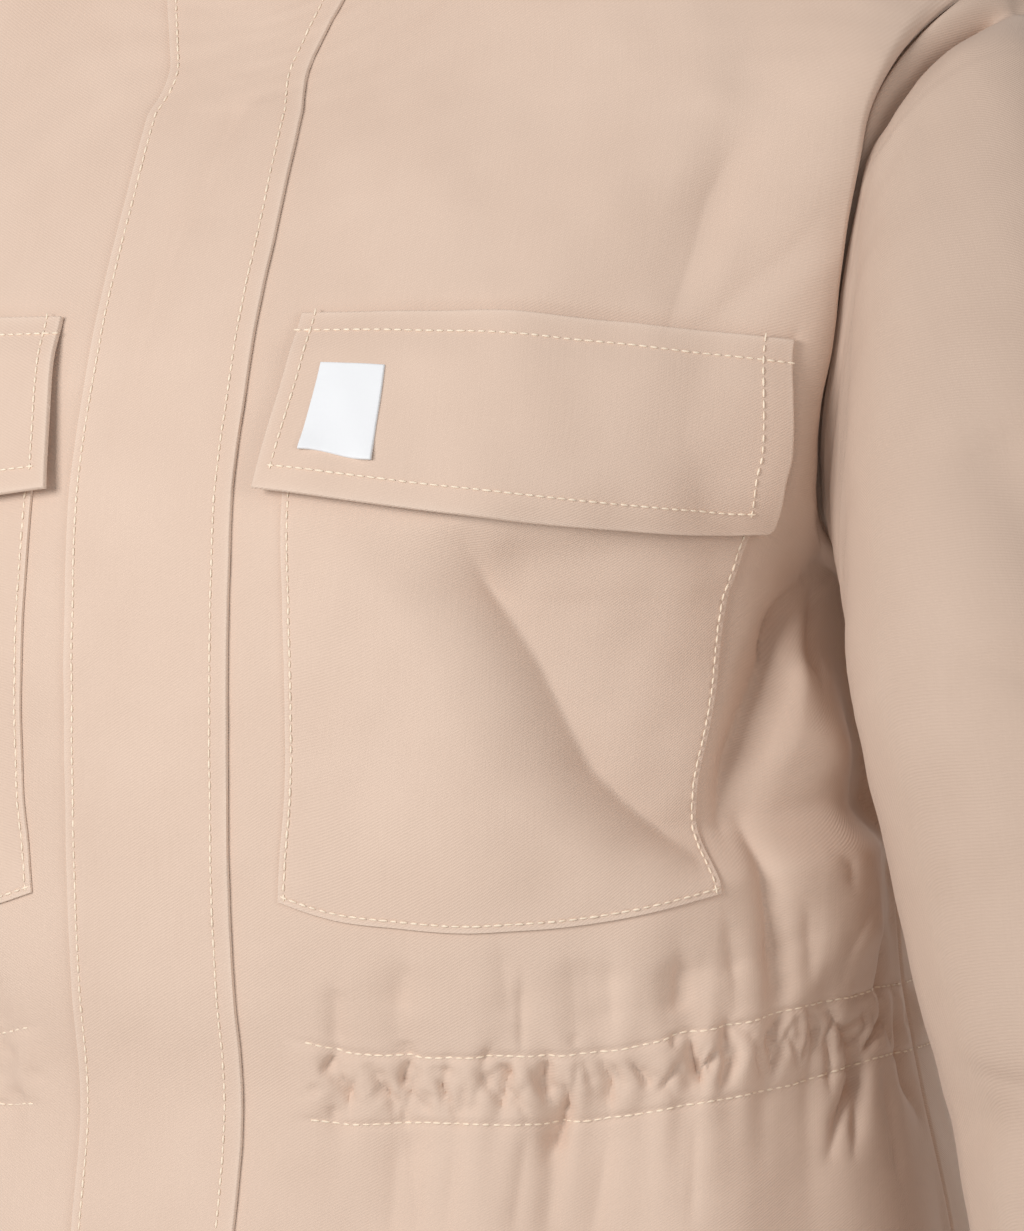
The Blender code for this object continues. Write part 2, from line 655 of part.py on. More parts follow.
def sleeve_start(share):
    """Which way the sleeve sets off from the seam, and which way its wall is thick there."""
    seam, leave, out = armhole(share)
    near = np.minimum(share, 1.0 - share) * 2.0
    angle = np.where(share <= 0.5, SLEEVE_SET_FRONT, SLEEVE_SET_BACK)
    angle = angle + (math.pi / 2 - angle) * (1 - ease(near / 0.2))
    angle = (angle * (1 - ease((near - 0.52) / 0.44)))[..., None]
    return (seam, leave * np.cos(angle) + out * np.sin(angle),
            leave * np.sin(angle) - out * np.cos(angle))


def arm_point(share, z):
    """A point of the sleeve's tube at height z of its axis, square across the axis."""
    zs = column(SLEEVE, "z")[::-1]

    def centre(at):
        x = through(zs, column(SLEEVE, "out")[::-1], at)
        y = -through(zs, column(SLEEVE, "fore")[::-1], at)
        return np.stack([x, y, at], axis=-1)

    axis = centre(np.minimum(z + 0.01, zs[-1])) - centre(np.maximum(z - 0.01, zs[0]))
    axis = axis / np.linalg.norm(axis, axis=-1, keepdims=True)
    fore = np.array([0.0, -1.0, 0.0]) + axis * axis[..., 1:2]
    fore = fore / np.linalg.norm(fore, axis=-1, keepdims=True)
    out = np.cross(axis, fore)
    turn = share * 2 * math.pi
    wide = (-np.cos(turn) * through(zs, column(SLEEVE, "half_width")[::-1], z))[..., None]
    deep = (np.sin(turn) * through(zs, column(SLEEVE, "half_depth")[::-1], z))[..., None]
    return centre(z) + out * wide + fore * deep, axis


def sleeve_point(share, along):
    """The sleeve's outside: along is 0 at the armhole, 1 where it is a plain tube, 2 at the cuff."""
    share = np.asarray(share, float)
    along = np.broadcast_to(np.asarray(along, float), share.shape)
    top = SLEEVE[0].z
    z = top + np.clip(along - 1.0, 0, 1) * (SLEEVE[-1].z - top)
    tube, axis = arm_point(share, z)
    seam, way, _ = sleeve_start(share)
    near = (np.minimum(share, 1.0 - share) * 2.0)[..., None]
    seam = seam + way * GAP * (1.5 + 1.5 * (1 - ease(near / 0.3)))
    reach = np.linalg.norm(tube - seam, axis=-1, keepdims=True)
    push = (SLEEVE_PUSH_LOW + (SLEEVE_PUSH - SLEEVE_PUSH_LOW) * ease(near / 0.3)
            + 0.55 * reach * ease((near - 0.5) / 0.5))
    cap = hermite(seam, way * push, tube, -axis * reach * 0.9, np.clip(along, 0, 1)[..., None])
    here = np.where(along[..., None] < 1.0, cap, tube)
    inward = tube - arm_point(share + 0.5, z)[0]
    inward = -inward / np.linalg.norm(inward, axis=-1, keepdims=True)
    depth = fold_depth(SLEEVE_FOLDS, share, along) * ease(along / 0.15)
    return here + inward * depth[..., None]


def sleeve_grid(shares, along):
    """Outer and inner points of one ring of the sleeve."""
    shares = np.asarray(shares, float)
    here = sleeve_point(shares, along)
    if along == 0.0:
        _, _, thick = sleeve_start(shares)
        return here, here + thick * WALL
    small = 0.004
    around = sleeve_point((shares + small) % 1.0, along) - sleeve_point((shares - small) % 1.0, along)
    down = sleeve_point(shares, min(along + small, 2)) - sleeve_point(shares, along - small)
    out = np.cross(around, down)
    out = out / np.linalg.norm(out, axis=-1, keepdims=True)
    centre = here.mean(axis=0)
    sign = np.sign(np.sum(out * (here - centre)))
    return here, here - out * sign * WALL


def build_sleeve(name, side, shade, home):
    start = row_z_to_v(UNDERARM_Z)
    rows_v = [row_z_to_v(z) for z in CHEST_ROWS_Z if z >= UNDERARM_Z - 1e-6] + list(YOKE_ROWS)
    rising = [(v - start) / (2.0 - start) * 0.5 for v in rows_v]
    shares = rising + [1.0 - share for share in rising[-2:0:-1]]
    outer = []
    inner = []
    for along in SLEEVE_ROWS:
        out_points, in_points = sleeve_grid(shares, along)
        outer.append(mirrored(out_points, side))
        inner.append(mirrored(in_points, side))
    marks = [shares + [1.0]] * len(SLEEVE_ROWS)
    return wall_object(name, outer, inner, marks, shade, home, ring=True)


# ---------------------------------------------------------------- hood
def hood_neck(k):
    """The hood's lower edge along the neckline, from centre front to the centre strip's edge."""
    u_front = NECK_SHARE * k / HOOD_NECK_K
    u_back = NECK_SHARE - (NECK_SHARE - HOOD_STRIP_SHARE) * (k - HOOD_NECK_K) / (1 - HOOD_NECK_K)
    front = top_point("front", np.clip(u_front, 0, NECK_SHARE))
    back = top_point("back", np.clip(u_back, 0, NECK_SHARE))
    return np.where((k <= HOOD_NECK_K)[..., None], front, back) + np.array([0.0, 0.0, GAP])


def hood_line(table, t):
    knots = np.linspace(0.0, 1.0, len(table))
    return through(knots, [[row.x, row.y, row.z] for row in table], t)


def hood_point(k, q):
    """The hood's side: k runs from the face edge to the back, q from the neck to the crown."""
    k = np.asarray(k, float)
    q = np.broadcast_to(np.asarray(q, float), k.shape)
    face_edge = hood_line(HOOD_FACE, q)
    crown = hood_line(HOOD_CROWN, k)
    back_edge = hood_line(HOOD_BACK, q)
    neck = hood_neck(k)
    zero = np.zeros_like(k)
    corners = ((1 - k) * (1 - q), k * (1 - q), (1 - k) * q, k * q)
    ends = (hood_neck(zero), hood_neck(zero + 1), hood_line(HOOD_CROWN, zero),
            hood_line(HOOD_CROWN, zero + 1))
    face_edge = face_edge + (ends[0] - hood_line(HOOD_FACE, zero)) * ((1 - q)[..., None])
    back_edge = back_edge + (ends[1] - hood_line(HOOD_BACK, zero)) * ((1 - q)[..., None])
    q3 = q[..., None]
    k3 = k[..., None]
    point = (1 - q3) * neck + q3 * crown + (1 - k3) * face_edge + k3 * back_edge
    for weight, end in zip(corners, ends):
        point = point - weight[..., None] * end
    point[..., 0] = np.maximum(point[..., 0], 0.0006)
    swell = HOOD_SWELL * 16 * k * (1 - k) * q * (1 - q)
    depth = fold_depth(HOOD_FOLDS, k, q) * ease(q / 0.1) * ease((1 - q) / 0.1) * ease((1 - k) / 0.1)
    return point + np.array([1.0, 0.0, 0.0]) * (swell - depth)[..., None]


def crown_edge(run):
    """The seam between side and centre strip: 0 at the forehead, 1 behind the head, 2 at the neck."""
    ones = np.ones_like(run)
    return np.where((run <= 1)[..., None], hood_point(np.clip(run, 0, 1), ones),
                    hood_point(ones, np.clip(2 - run, 0, 1)))


def crown_out(run):
    """The way out from the head, square to that seam."""
    way = crown_edge(np.clip(run + 0.03, 0, 2)) - crown_edge(np.clip(run - 0.03, 0, 2))
    out = np.stack([np.zeros_like(run), -way[..., 2], way[..., 1]], axis=-1)
    return out / np.linalg.norm(out, axis=-1, keepdims=True)


def hood_grid(ks, q):
    """Outer and inner points of one row of the hood's side."""
    ks = np.asarray(ks, float)
    small = 0.004
    along = hood_point(np.minimum(ks + small, 1), q) - hood_point(np.maximum(ks - small, 0), q)
    up = hood_point(ks, min(q + small, 1)) - hood_point(ks, max(q - small, 0))
    out = np.cross(along, up)
    # At the seam to the centre strip both walls are thick in the same direction.
    if q > 0.999:
        out = crown_out(ks)
    else:
        out[ks > 0.999] = crown_out(np.array([2.0 - q]))
    # So are the two sides where they meet at the chin.
    out[..., 0] = np.where(ks < 0.001, out[..., 0] * ease((q - 0.20) / 0.15), out[..., 0])
    out = out / np.linalg.norm(out, axis=-1, keepdims=True)
    here = hood_point(ks, q) + np.array([GAP / 2, 0.0, 0.0])
    return here, here - out * WALL


def build_hood_side(name, side, shade, home):
    outer = []
    inner = []
    for q in HOOD_ROWS:
        out_points, in_points = hood_grid(HOOD_COLUMNS[::-1], q)
        outer.append(mirrored(out_points, side))
        inner.append(mirrored(in_points, side))
    marks = [[1.0 - k for k in HOOD_COLUMNS[::-1]]] * len(HOOD_ROWS)
    return wall_object(name, outer, inner, marks, shade, home)


def hood_centre_point(across, run):
    """The centre strip: run is 0 at the forehead, 1 at the back of the head, 2 at the neck."""
    across = np.asarray(across, float)
    run = np.broadcast_to(np.asarray(run, float), across.shape)
    edge = crown_edge(run)
    arch = HOOD_ARCH * (1 - across**2)
    width = edge[..., 0] - GAP
    point = np.stack([across * width, edge[..., 1], edge[..., 2]], axis=-1) + crown_out(run) * arch[..., None]
    neck = top_point("back", HOOD_STRIP_SHARE * np.abs(across))
    neck[..., 0] = across * width
    neck[..., 2] += GAP
    low = ease((run - 1.8) / 0.2)[..., None]
    return point * (1 - low) + neck * low


def build_hood_centre(shade, home):
    outer = []
    inner = []
    across = np.array(HOOD_ACROSS)
    small = 0.01
    for run in HOOD_RUNS:
        here = hood_centre_point(across, run)
        side = hood_centre_point(across + small, run) - hood_centre_point(across - small, run)
        down = hood_centre_point(across, min(run + small, 2)) - hood_centre_point(across, max(run - small, 0))
        out = np.cross(side, down)
        out[[0, -1]] = crown_out(np.array([run, run]))
        out = out / np.linalg.norm(out, axis=-1, keepdims=True)
        outer.append(here)
        inner.append(here - out * WALL)
    return wall_object("hood_centre", outer, inner, [HOOD_ACROSS] * len(HOOD_RUNS), shade, home)


def main():
    for old in list(bpy.data.objects):
        bpy.data.objects.remove(old, do_unlink=True)
    home = bpy.data.collections.new("hooded_parka")
    bpy.context.scene.collection.children.link(home)
    cloth = material("beige_twill", BEIGE, 0.85)
    white = material("white_label", LABEL_WHITE, 0.7)
    build_front("front_left", 1.0, cloth, home)
    build_front("front_right", -1.0, cloth, home)
    build_back(cloth, home)
    build_placket(cloth, home)
    for name, side in (("left", 1.0), ("right", -1.0)):
        patch("pocket_" + name, side, POCKET_Z, POCKET_A, lambda z: GAP, STRIP, cloth, home)
        patch("flap_" + name, side, FLAP_Z, FLAP_A, flap_lift, STRIP, cloth, home)
        build_sleeve("sleeve_" + name, side, cloth, home)
        build_hood_side("hood_" + name, side, cloth, home)
    build_hood_centre(cloth, home)
    build_label(white, home)


main()
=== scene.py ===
# %% [markdown]
# # A hooded parka, as it hangs when worn
# The photograph is a close-up of a beige twill parka: the placket down the front, a chest pocket
# under its flap, a waist drawn in by a stitched channel, and one sleeve. The fixed frame already
# holds the whole coat as plain solids. Here each piece becomes thin cloth with its folds, its
# puckers, its turned edges and its topstitching. The lines below load the frame and keep its box,
# and the finished cloth stays the size of the solids. The finished cloth has to stay the size of
# the solids.

# %% Load the frame
import math
from collections import namedtuple

import bpy
import bmesh
import numpy as np
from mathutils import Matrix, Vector


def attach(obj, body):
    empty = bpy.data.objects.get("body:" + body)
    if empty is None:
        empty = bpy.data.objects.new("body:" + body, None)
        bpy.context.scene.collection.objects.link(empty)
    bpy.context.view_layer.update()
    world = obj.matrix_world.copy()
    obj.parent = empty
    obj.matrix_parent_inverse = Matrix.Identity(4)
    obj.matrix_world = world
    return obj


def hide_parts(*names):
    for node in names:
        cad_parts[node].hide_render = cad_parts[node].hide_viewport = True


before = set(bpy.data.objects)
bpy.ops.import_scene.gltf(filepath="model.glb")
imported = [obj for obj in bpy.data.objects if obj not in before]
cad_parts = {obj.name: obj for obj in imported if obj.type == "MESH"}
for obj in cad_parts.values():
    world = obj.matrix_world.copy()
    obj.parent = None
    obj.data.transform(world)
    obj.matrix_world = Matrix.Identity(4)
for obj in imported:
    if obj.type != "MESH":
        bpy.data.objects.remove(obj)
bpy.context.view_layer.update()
print("solids in the frame:", len(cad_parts))

# %% [markdown]
# ## The camera
# The photograph was taken with a long lens at chest height, from the wearer's left of centre, so
# that the placket runs down the left of the picture and the sleeve closes it on the right. A long
# lens far away would flatten the coat. This one stands 1.6 m off, near enough for the placket's
# lower end to lean as it does in the photograph.

# %% Camera
CAMERA_AZIMUTH = 24.0  # degrees round from the front, towards the wearer's left
CAMERA_ELEVATION = 1.4
CAMERA_DISTANCE = 1.6
CAMERA_AIM = Vector((0.1155, -0.1075, -0.305))
FRAME_HEIGHT = 0.406
SENSOR = 36.0


def way_to(azimuth, elevation):
    """The direction of a place seen at an azimuth and elevation."""
    turn = math.radians(azimuth)
    rise = math.radians(elevation)
    return Vector((math.sin(turn) * math.cos(rise), -math.cos(turn) * math.cos(rise), math.sin(rise)))


def add_camera():
    """A camera that looks at the aim from its azimuth and elevation."""
    lens = bpy.data.cameras.new("photo_camera")
    lens.sensor_width = SENSOR
    lens.lens = SENSOR * CAMERA_DISTANCE / FRAME_HEIGHT
    lens.clip_start = 0.05
    way = way_to(CAMERA_AZIMUTH, CAMERA_ELEVATION)
    camera = bpy.data.objects.new("photo_camera", lens)
    camera.location = CAMERA_AIM + way * CAMERA_DISTANCE
    camera.rotation_euler = (-way).to_track_quat("-Z", "Y").to_euler()
    bpy.context.scene.collection.objects.link(camera)
    bpy.context.scene.camera = camera
    return camera


print("lens, mm:", round(add_camera().data.lens, 1))

# %% [markdown]
# ## Floor and light
# A studio lights cloth with soft boxes, so that folds show as slow changes of tone rather than as
# hard shadows. The main box is near the coat, to the left of the camera and a little above the
# chest, so each fold shades on its right. A weaker box on the right keeps the side by the sleeve
# from going black, and one behind lights the back. The floor lies where the wearer would stand.

# %% Floor, sky and lamps
FLOOR_Z = -1.36
FLOOR_HALF = 6.0


def add_floor():
    mesh = bpy.data.meshes.new("studio_floor")
    square = ((-1, -1), (1, -1), (1, 1), (-1, 1))
    corners = [(x * FLOOR_HALF, y * FLOOR_HALF, FLOOR_Z) for x, y in square]
    mesh.from_pydata(corners, [], [(0, 1, 2, 3)])
    floor = bpy.data.objects.new("studio_floor", mesh)
    paper = bpy.data.materials.new("studio_paper")
    paper.use_nodes = True
    shader = paper.node_tree.nodes["Principled BSDF"]
    shader.inputs["Base Color"].default_value = (0.86, 0.86, 0.85, 1)
    shader.inputs["Roughness"].default_value = 0.9
    mesh.materials.append(paper)
    bpy.context.scene.collection.objects.link(floor)


def add_sky(strength):
    world = bpy.data.worlds.new("studio_sky")
    world.use_nodes = True
    shade = world.node_tree.nodes["Background"]
    shade.inputs["Color"].default_value = (1.0, 0.985, 0.97, 1)
    shade.inputs["Strength"].default_value = strength
    bpy.context.scene.world = world


def add_lamp(name, azimuth, elevation, distance, size, watts, aim):
    """A square soft lamp at an azimuth and elevation from what it lights."""
    lamp = bpy.data.lights.new(name, "AREA")
    lamp.shape = "SQUARE"
    lamp.size = size
    lamp.energy = watts
    lamp.color = (1.0, 0.985, 0.965)
    way = way_to(azimuth, elevation)
    made = bpy.data.objects.new(name, lamp)
    made.location = aim + way * distance
    made.rotation_euler = (-way).to_track_quat("-Z", "Y").to_euler()
    bpy.context.scene.collection.objects.link(made)


bpy.context.scene.view_settings.view_transform = "Standard"
add_floor()
add_sky(0.35)
add_lamp("key_soft_box", azimuth=-22, elevation=16, distance=1.45, size=0.6, watts=14.8,
         aim=Vector((0.11, -0.12, -0.36)))
add_lamp("fill_soft_box", azimuth=60, elevation=8, distance=2.4, size=1.0, watts=11.2,
         aim=CAMERA_AIM)
add_lamp("back_soft_box", azimuth=185, elevation=35, distance=3.0, size=1.6, watts=40,
         aim=Vector((0, 0, -0.3)))
print("lamps:", len(bpy.data.lights))

# %% [markdown]
# ## The coat's sizes
# A pattern cutter starts from a few measures and a table of half sections: how wide and how deep
# the body is at each height. The solids were made from such a table too, and this one stays within
# 3 mm of it, so that each piece of cloth lies on its solid without any fitting. Heights are lengths
# below the high shoulder point.

# %% Sizes and tables of the form
GAP = 0.0003  # between pieces at a seam, or one lying on the other
SECTION_POWER = 2.5  # how square the body's sections are: 2 is an ellipse

# Lengths down from the high shoulder point
HEM_Z = -0.800
UNDERARM_Z = -0.295
YOKE_Z = -0.135  # above this row the cloth turns over the shoulder
YOKE_SHORT = 0.12  # cloth from that row to the neck at the placket
YOKE_LONG = 0.17  # and to the shoulder seam
CHANNEL_Z = -0.462
CHANNEL_WIDTH = 0.022
PLACKET_HALF = 0.0292

# Neck and shoulder
NECK_HALF = 0.085
NECK_FRONT = 0.062
NECK_FRONT_DROP = 0.085
NECK_BACK = 0.058
NECK_BACK_DROP = 0.018
SHOULDER_TIP_X = 0.252
NECK_SHARE = 0.36  # share of a yoke row that ends at the neckline
HOOD_STRIP_SHARE = 0.12  # the same at the edge of the hood's centre strip
PLACKET_SHARE = 0.11  # and at the placket's edge
PLACKET_TOP_V = 1.96
SEAM_V = 2.0 - 0.004  # where the panels stop short of the neck and shoulder seams

Section = namedtuple("Section", "z half_width front back side_rise")
BODY = (
    Section(-0.8, 0.251, 0.162, 0.147, 0.000),
    Section(-0.7, 0.246, 0.16, 0.143, 0.004),
    Section(-0.6, 0.239, 0.153, 0.136, 0.01),
    Section(-0.52, 0.233, 0.142, 0.13, 0.02),
    Section(-0.462, 0.22, 0.134, 0.118, 0.026),
    Section(-0.43, 0.214, 0.14, 0.117, 0.022),
    Section(-0.4, 0.212, 0.143, 0.118, 0.014),
    Section(-0.35, 0.209, 0.144, 0.121, 0.006),
    Section(-0.3, 0.2, 0.144, 0.124, 0.000),
    Section(-0.265, 0.198, 0.141, 0.124, -0.004),
    Section(-0.235, 0.2045, 0.1325, 0.122, -0.007),
    Section(-0.205, 0.214, 0.122, 0.119, -0.008),
    Section(-0.175, 0.224, 0.1075, 0.114, -0.008),
    Section(-0.15, 0.232, 0.095, 0.108, -0.008),
    Section(-0.13, 0.237, 0.084, 0.101, -0.008),
)

Armhole = namedtuple("Armhole", "z front back")
ARMHOLE = (
    Armhole(-0.295, 0.000, 0.000),
    Armhole(-0.28, 0.026, 0.026),
    Armhole(-0.25, 0.042, 0.046),
    Armhole(-0.2, 0.05, 0.056),
    Armhole(-0.15, 0.047, 0.052),
    Armhole(-0.13, 0.043, 0.047),
)
print("sections in the body's table:", len(BODY))

# %% [markdown]
# ## Curves through a table
# A body's outline is smooth, while a table has only a dozen rows. Straight lines between them would
# show as corners in the light, so cubic pieces with shared slopes pass through every row.

# %% Curve helpers
def through(knots, values, at):
    """A smooth curve through a table's values: cubic pieces with centred slopes."""
    knots = np.asarray(knots, float)
    values = np.asarray(values, float)
    slopes = np.gradient(values, knots, axis=0)
    at = np.clip(np.asarray(at, float), knots[0], knots[-1])
    k = np.clip(np.searchsorted(knots, at, side="right") - 1, 0, len(knots) - 2)
    step = knots[k + 1] - knots[k]
    t = (at - knots[k]) / step
    if values.ndim > 1:
        step = step[..., None]
        t = t[..., None]
    return hermite(values[k], slopes[k] * step, values[k + 1], slopes[k + 1] * step, t)


def hermite(p0, d0, p1, d1, t):
    """The cubic from p0 to p1 with end directions d0 and d1."""
    return ((2 * t**3 - 3 * t**2 + 1) * p0 + (t**3 - 2 * t**2 + t) * d0
            + (3 * t**2 - 2 * t**3) * p1 + (t**3 - t**2) * d1)


def column(table, name):
    return [getattr(row, name) for row in table]


def ease(t):
    """Rises smoothly from 0 to 1."""
    t = np.clip(t, 0.0, 1.0)
    return t * t * (3 - 2 * t)


def unit(ways):
    """The same directions, each of length 1."""
    return ways / np.maximum(np.linalg.norm(ways, axis=-1, keepdims=True), 1e-9)


def mirrored(points, side):
    """The points of the wearer's left side, or with side -1 those of the right."""
    return points * np.array([side, 1.0, 1.0])


print("half width at the underarm, m:", float(through(column(BODY, "z"), column(BODY, "half_width"), -0.3)))

# %% [markdown]
# ## Body sections
# Each level section of the body is a rounded square, between an ellipse and a box. The points are
# spaced evenly along the cloth, so that a distance from the centre front is a distance that a
# tailor could measure with a tape.

# %% Body sections
TABLE_Z = np.linspace(HEM_Z, BODY[-1].z, 500)
TABLE_U = np.linspace(0.0, 1.0, 201)


def section_table(face):
    """Half sections of the front or back, spaced evenly along the cloth, for every height."""
    half = through(column(BODY, "z"), column(BODY, "half_width"), TABLE_Z)
    depth = through(column(BODY, "z"), column(BODY, face), TABLE_Z)
    seam = through(column(ARMHOLE, "z"), column(ARMHOLE, face), TABLE_Z)
    xs = np.empty((len(TABLE_Z), len(TABLE_U)))
    ys = np.empty_like(xs)
    lengths = np.empty(len(TABLE_Z))
    for row, (w, d, s) in enumerate(zip(half, depth, seam)):
        last = math.acos((s / d) ** (SECTION_POWER / 2))
        turn = np.linspace(0.0, 1.0, 600) ** 1.5 * last
        x = w * np.sin(turn) ** (2 / SECTION_POWER)
        y = d * np.cos(turn) ** (2 / SECTION_POWER)
        run = np.concatenate([[0.0], np.cumsum(np.hypot(np.diff(x), np.diff(y)))])
        lengths[row] = run[-1]
        xs[row] = np.interp(TABLE_U * run[-1], run, x)
        ys[row] = np.interp(TABLE_U * run[-1], run, y)
    return xs, ys, lengths


SECTIONS = {"front": section_table("front"), "back": section_table("back")}


def row_length(face, z):
    """Cloth length of a half row, centre to side."""
    return np.interp(z, TABLE_Z, SECTIONS[face][2])


def section_point(face, u, z):
    """A point of the plain section at height z, u of the way round to the side."""
    xs, ys, _ = SECTIONS[face]
    fz = np.clip((z - TABLE_Z[0]) / (TABLE_Z[1] - TABLE_Z[0]), 0, len(TABLE_Z) - 1.001)
    fu = np.clip(u, 0, 1) * (len(TABLE_U) - 1.001)
    i = fz.astype(int)
    j = fu.astype(int)
    p = fz - i
    q = fu - j

    def blend(grid):
        low = grid[i, j] * (1 - q) + grid[i, j + 1] * q
        high = grid[i + 1, j] * (1 - q) + grid[i + 1, j + 1] * q
        return low * (1 - p) + high * p

    side = -1.0 if face == "front" else 1.0
    return np.stack([blend(xs), side * blend(ys), z], axis=-1)


def shoulder_z(x):
    """Height of the shoulder seam at x."""
    past = x - NECK_HALF
    return -0.30 * past - 1.3 * past**2


def top_point(face, u):
    """The neckline up to the high shoulder point, then the shoulder seam out to its tip."""
    turn = np.clip(u / NECK_SHARE, 0, 1) * math.pi / 2
    out = np.clip((u - NECK_SHARE) / (1 - NECK_SHARE), 0, 1)
    reach, drop = (-NECK_FRONT, NECK_FRONT_DROP) if face == "front" else (NECK_BACK, NECK_BACK_DROP)
    x = NECK_HALF * np.sin(turn) + (SHOULDER_TIP_X - NECK_HALF) * out
    y = reach * np.cos(turn)
    z = np.where(out > 0, shoulder_z(x), -drop * np.cos(turn) ** 1.5)
    return np.stack([x, y, z], axis=-1)


def row_z(v):
    """The height of a row, or that of the yoke row for those above it."""
    return HEM_Z + np.minimum(v, 1.0) * (YOKE_Z - HEM_Z)


def row_z_to_v(z):
    return (z - HEM_Z) / (YOKE_Z - HEM_Z)


def plain_point(face, u, v):
    """The body without folds: v is 0 at the hem, 1 at the yoke row and 2 at the neck or shoulder."""
    u = np.asarray(u, float)
    v = np.broadcast_to(np.asarray(v, float), u.shape)
    row = row_z(v)
    rise = through(column(BODY, "z"), column(BODY, "side_rise"), row) * ease((u - 0.45) / 0.5)
    low = section_point(face, u, row + rise)
    t = np.clip(v - 1.0, 0.0, 1.0)[..., None]
    below = section_point(face, u, row + rise - 0.012)
    top = top_point(face, u)
    span = np.linalg.norm(top - low, axis=-1, keepdims=True)
    start = unit(low - below)
    back = 1.0 if face == "front" else -1.0
    over = ease((u - NECK_SHARE * 0.6) / (NECK_SHARE * 0.8))[..., None]
    # The cloth reaches the neck nearly upright, and the shoulder seam nearly level.
    neck_way = np.array([0.0, 0.35 * back, 0.94])
    shoulder_way = np.array([0.0, 0.97 * back, 0.24])
    finish = neck_way * (1 - over) + shoulder_way * over
    yoke = hermite(low, start * span, top, finish * span * 0.9, t)
    return np.where(t > 0, yoke, low)


print("half round the chest, m:", round(float(row_length("front", -0.3)), 3))

# %% [markdown]
# ## Folds and gathers
# A fold is a line on the cloth with a width and a depth. The broad ones carry the drape, and most
# of them are in the solids too. Where the waist is drawn up, the cloth falls in narrow gathers: each
# has its own place, lean and reach, because a drawn channel never gathers evenly.

# %% Tables of folds and gathers
# Folds of the body: a line on the cloth from (a, z) to (a, z), a being measured round from the
# centre front. A trough has a positive depth, a ridge a negative one.
Fold = namedtuple("Fold", "a0 z0 a1 z1 width depth")
FRONT_FOLDS = (
    Fold(0.236, -0.322, 0.232, -0.345, 0.012, -0.002),
    Fold(0.249, -0.334, 0.25, -0.345, 0.02, -0.006),
    Fold(0.25, -0.368, 0.252, -0.43, 0.024, -0.011),
    Fold(0.118, -0.202, 0.172, -0.13, 0.014, -0.002),
    Fold(0.142, -0.216, 0.204, -0.135, 0.014, 0.0016),
    Fold(0.13, -0.287, 0.196, -0.281, 0.009, 0.002),
    Fold(0.085, -0.48, 0.075, -0.62, 0.024, 0.007),
    Fold(0.15, -0.48, 0.165, -0.7, 0.026, 0.009),
    Fold(0.225, -0.48, 0.24, -0.66, 0.026, 0.008),
)
BACK_FOLDS = (
    Fold(0.215, -0.29, 0.12, -0.4, 0.024, 0.009),
    Fold(0.06, -0.38, 0.05, -0.445, 0.018, 0.005),
    Fold(0.05, -0.48, 0.06, -0.68, 0.028, 0.008),
    Fold(0.13, -0.48, 0.12, -0.64, 0.026, 0.008),
    Fold(0.205, -0.48, 0.225, -0.7, 0.026, 0.008),
)

# Gathers of the waist channel: place round from the centre front (or back), lean per metre of
# height, half width, depth, and how far they run above and below the channel.
Gather = namedtuple("Gather", "a lean half depth above below")
FRONT_GATHERS = (
    Gather(0.064, 0.06, 0.005, 0.003, 0.03, 0.03),
    Gather(0.088, -0.12, 0.005, 0.0026, 0.02, 0.03),
    Gather(0.103, 0.06, 0.005, 0.0022, 0.016, 0.024),
    Gather(0.118, 0.09, 0.005, 0.0032, 0.03, 0.036),
    Gather(0.134, -0.12, 0.005, 0.0034, 0.034, 0.06),
    Gather(0.151, 0.1, 0.005, 0.0026, 0.022, 0.03),
    Gather(0.167, -0.06, 0.005, 0.003, 0.026, 0.05),
    Gather(0.182, 0.12, 0.005, 0.0036, 0.04, 0.044),
    Gather(0.197, -0.06, 0.005, 0.0032, 0.026, 0.03),
    Gather(0.215, 0.12, 0.005, 0.0036, 0.036, 0.038),
    Gather(0.236, 0.06, 0.005, 0.0036, 0.03, 0.05),
    Gather(0.255, -0.06, 0.005, 0.0032, 0.034, 0.04),
)
BACK_GATHERS = (
    Gather(0.014, 0.06, 0.006, 0.003, 0.03, 0.04),
    Gather(0.036, -0.12, 0.006, 0.0034, 0.024, 0.036),
    Gather(0.057, 0.12, 0.006, 0.0028, 0.03, 0.05),
    Gather(0.079, -0.06, 0.006, 0.0034, 0.036, 0.034),
    Gather(0.1, 0.18, 0.006, 0.003, 0.024, 0.044),
    Gather(0.122, -0.12, 0.006, 0.0036, 0.032, 0.036),
    Gather(0.144, 0.12, 0.006, 0.003, 0.03, 0.05),
    Gather(0.166, -0.18, 0.006, 0.0034, 0.024, 0.04),
    Gather(0.188, 0.06, 0.006, 0.003, 0.034, 0.034),
    Gather(0.21, -0.06, 0.006, 0.0034, 0.028, 0.044),
)
print("folds:", len(FRONT_FOLDS + BACK_FOLDS), "gathers:", len(FRONT_GATHERS + BACK_GATHERS))

# %% Depth of folds and gathers
def fold_depth(folds, a, z):
    """Depth of the folds at a place on the cloth, positive inwards."""
    total = np.zeros_like(a)
    for fold in folds:
        along = np.array([fold.a1 - fold.a0, fold.z1 - fold.z0])
        length2 = along @ along
        t = ((a - fold.a0) * along[0] + (z - fold.z0) * along[1]) / length2
        off = np.hypot(a - fold.a0 - np.clip(t, 0, 1) * along[0],
                       z - fold.z0 - np.clip(t, 0, 1) * along[1])
        total = total + fold.depth * np.exp(-(off / fold.width) ** 2)
    return total


def gather_middle(gather, z):
    """Where a gather's bottom runs at height z: it leans near the channel, then hangs straight."""
    return gather.a + gather.lean * np.clip(z - CHANNEL_Z, -0.02, 0.02)


GATHER_DEPTH = 0.6  # of the solids' gathers, since the small creases below take the rest
GATHER_REACH = 0.7


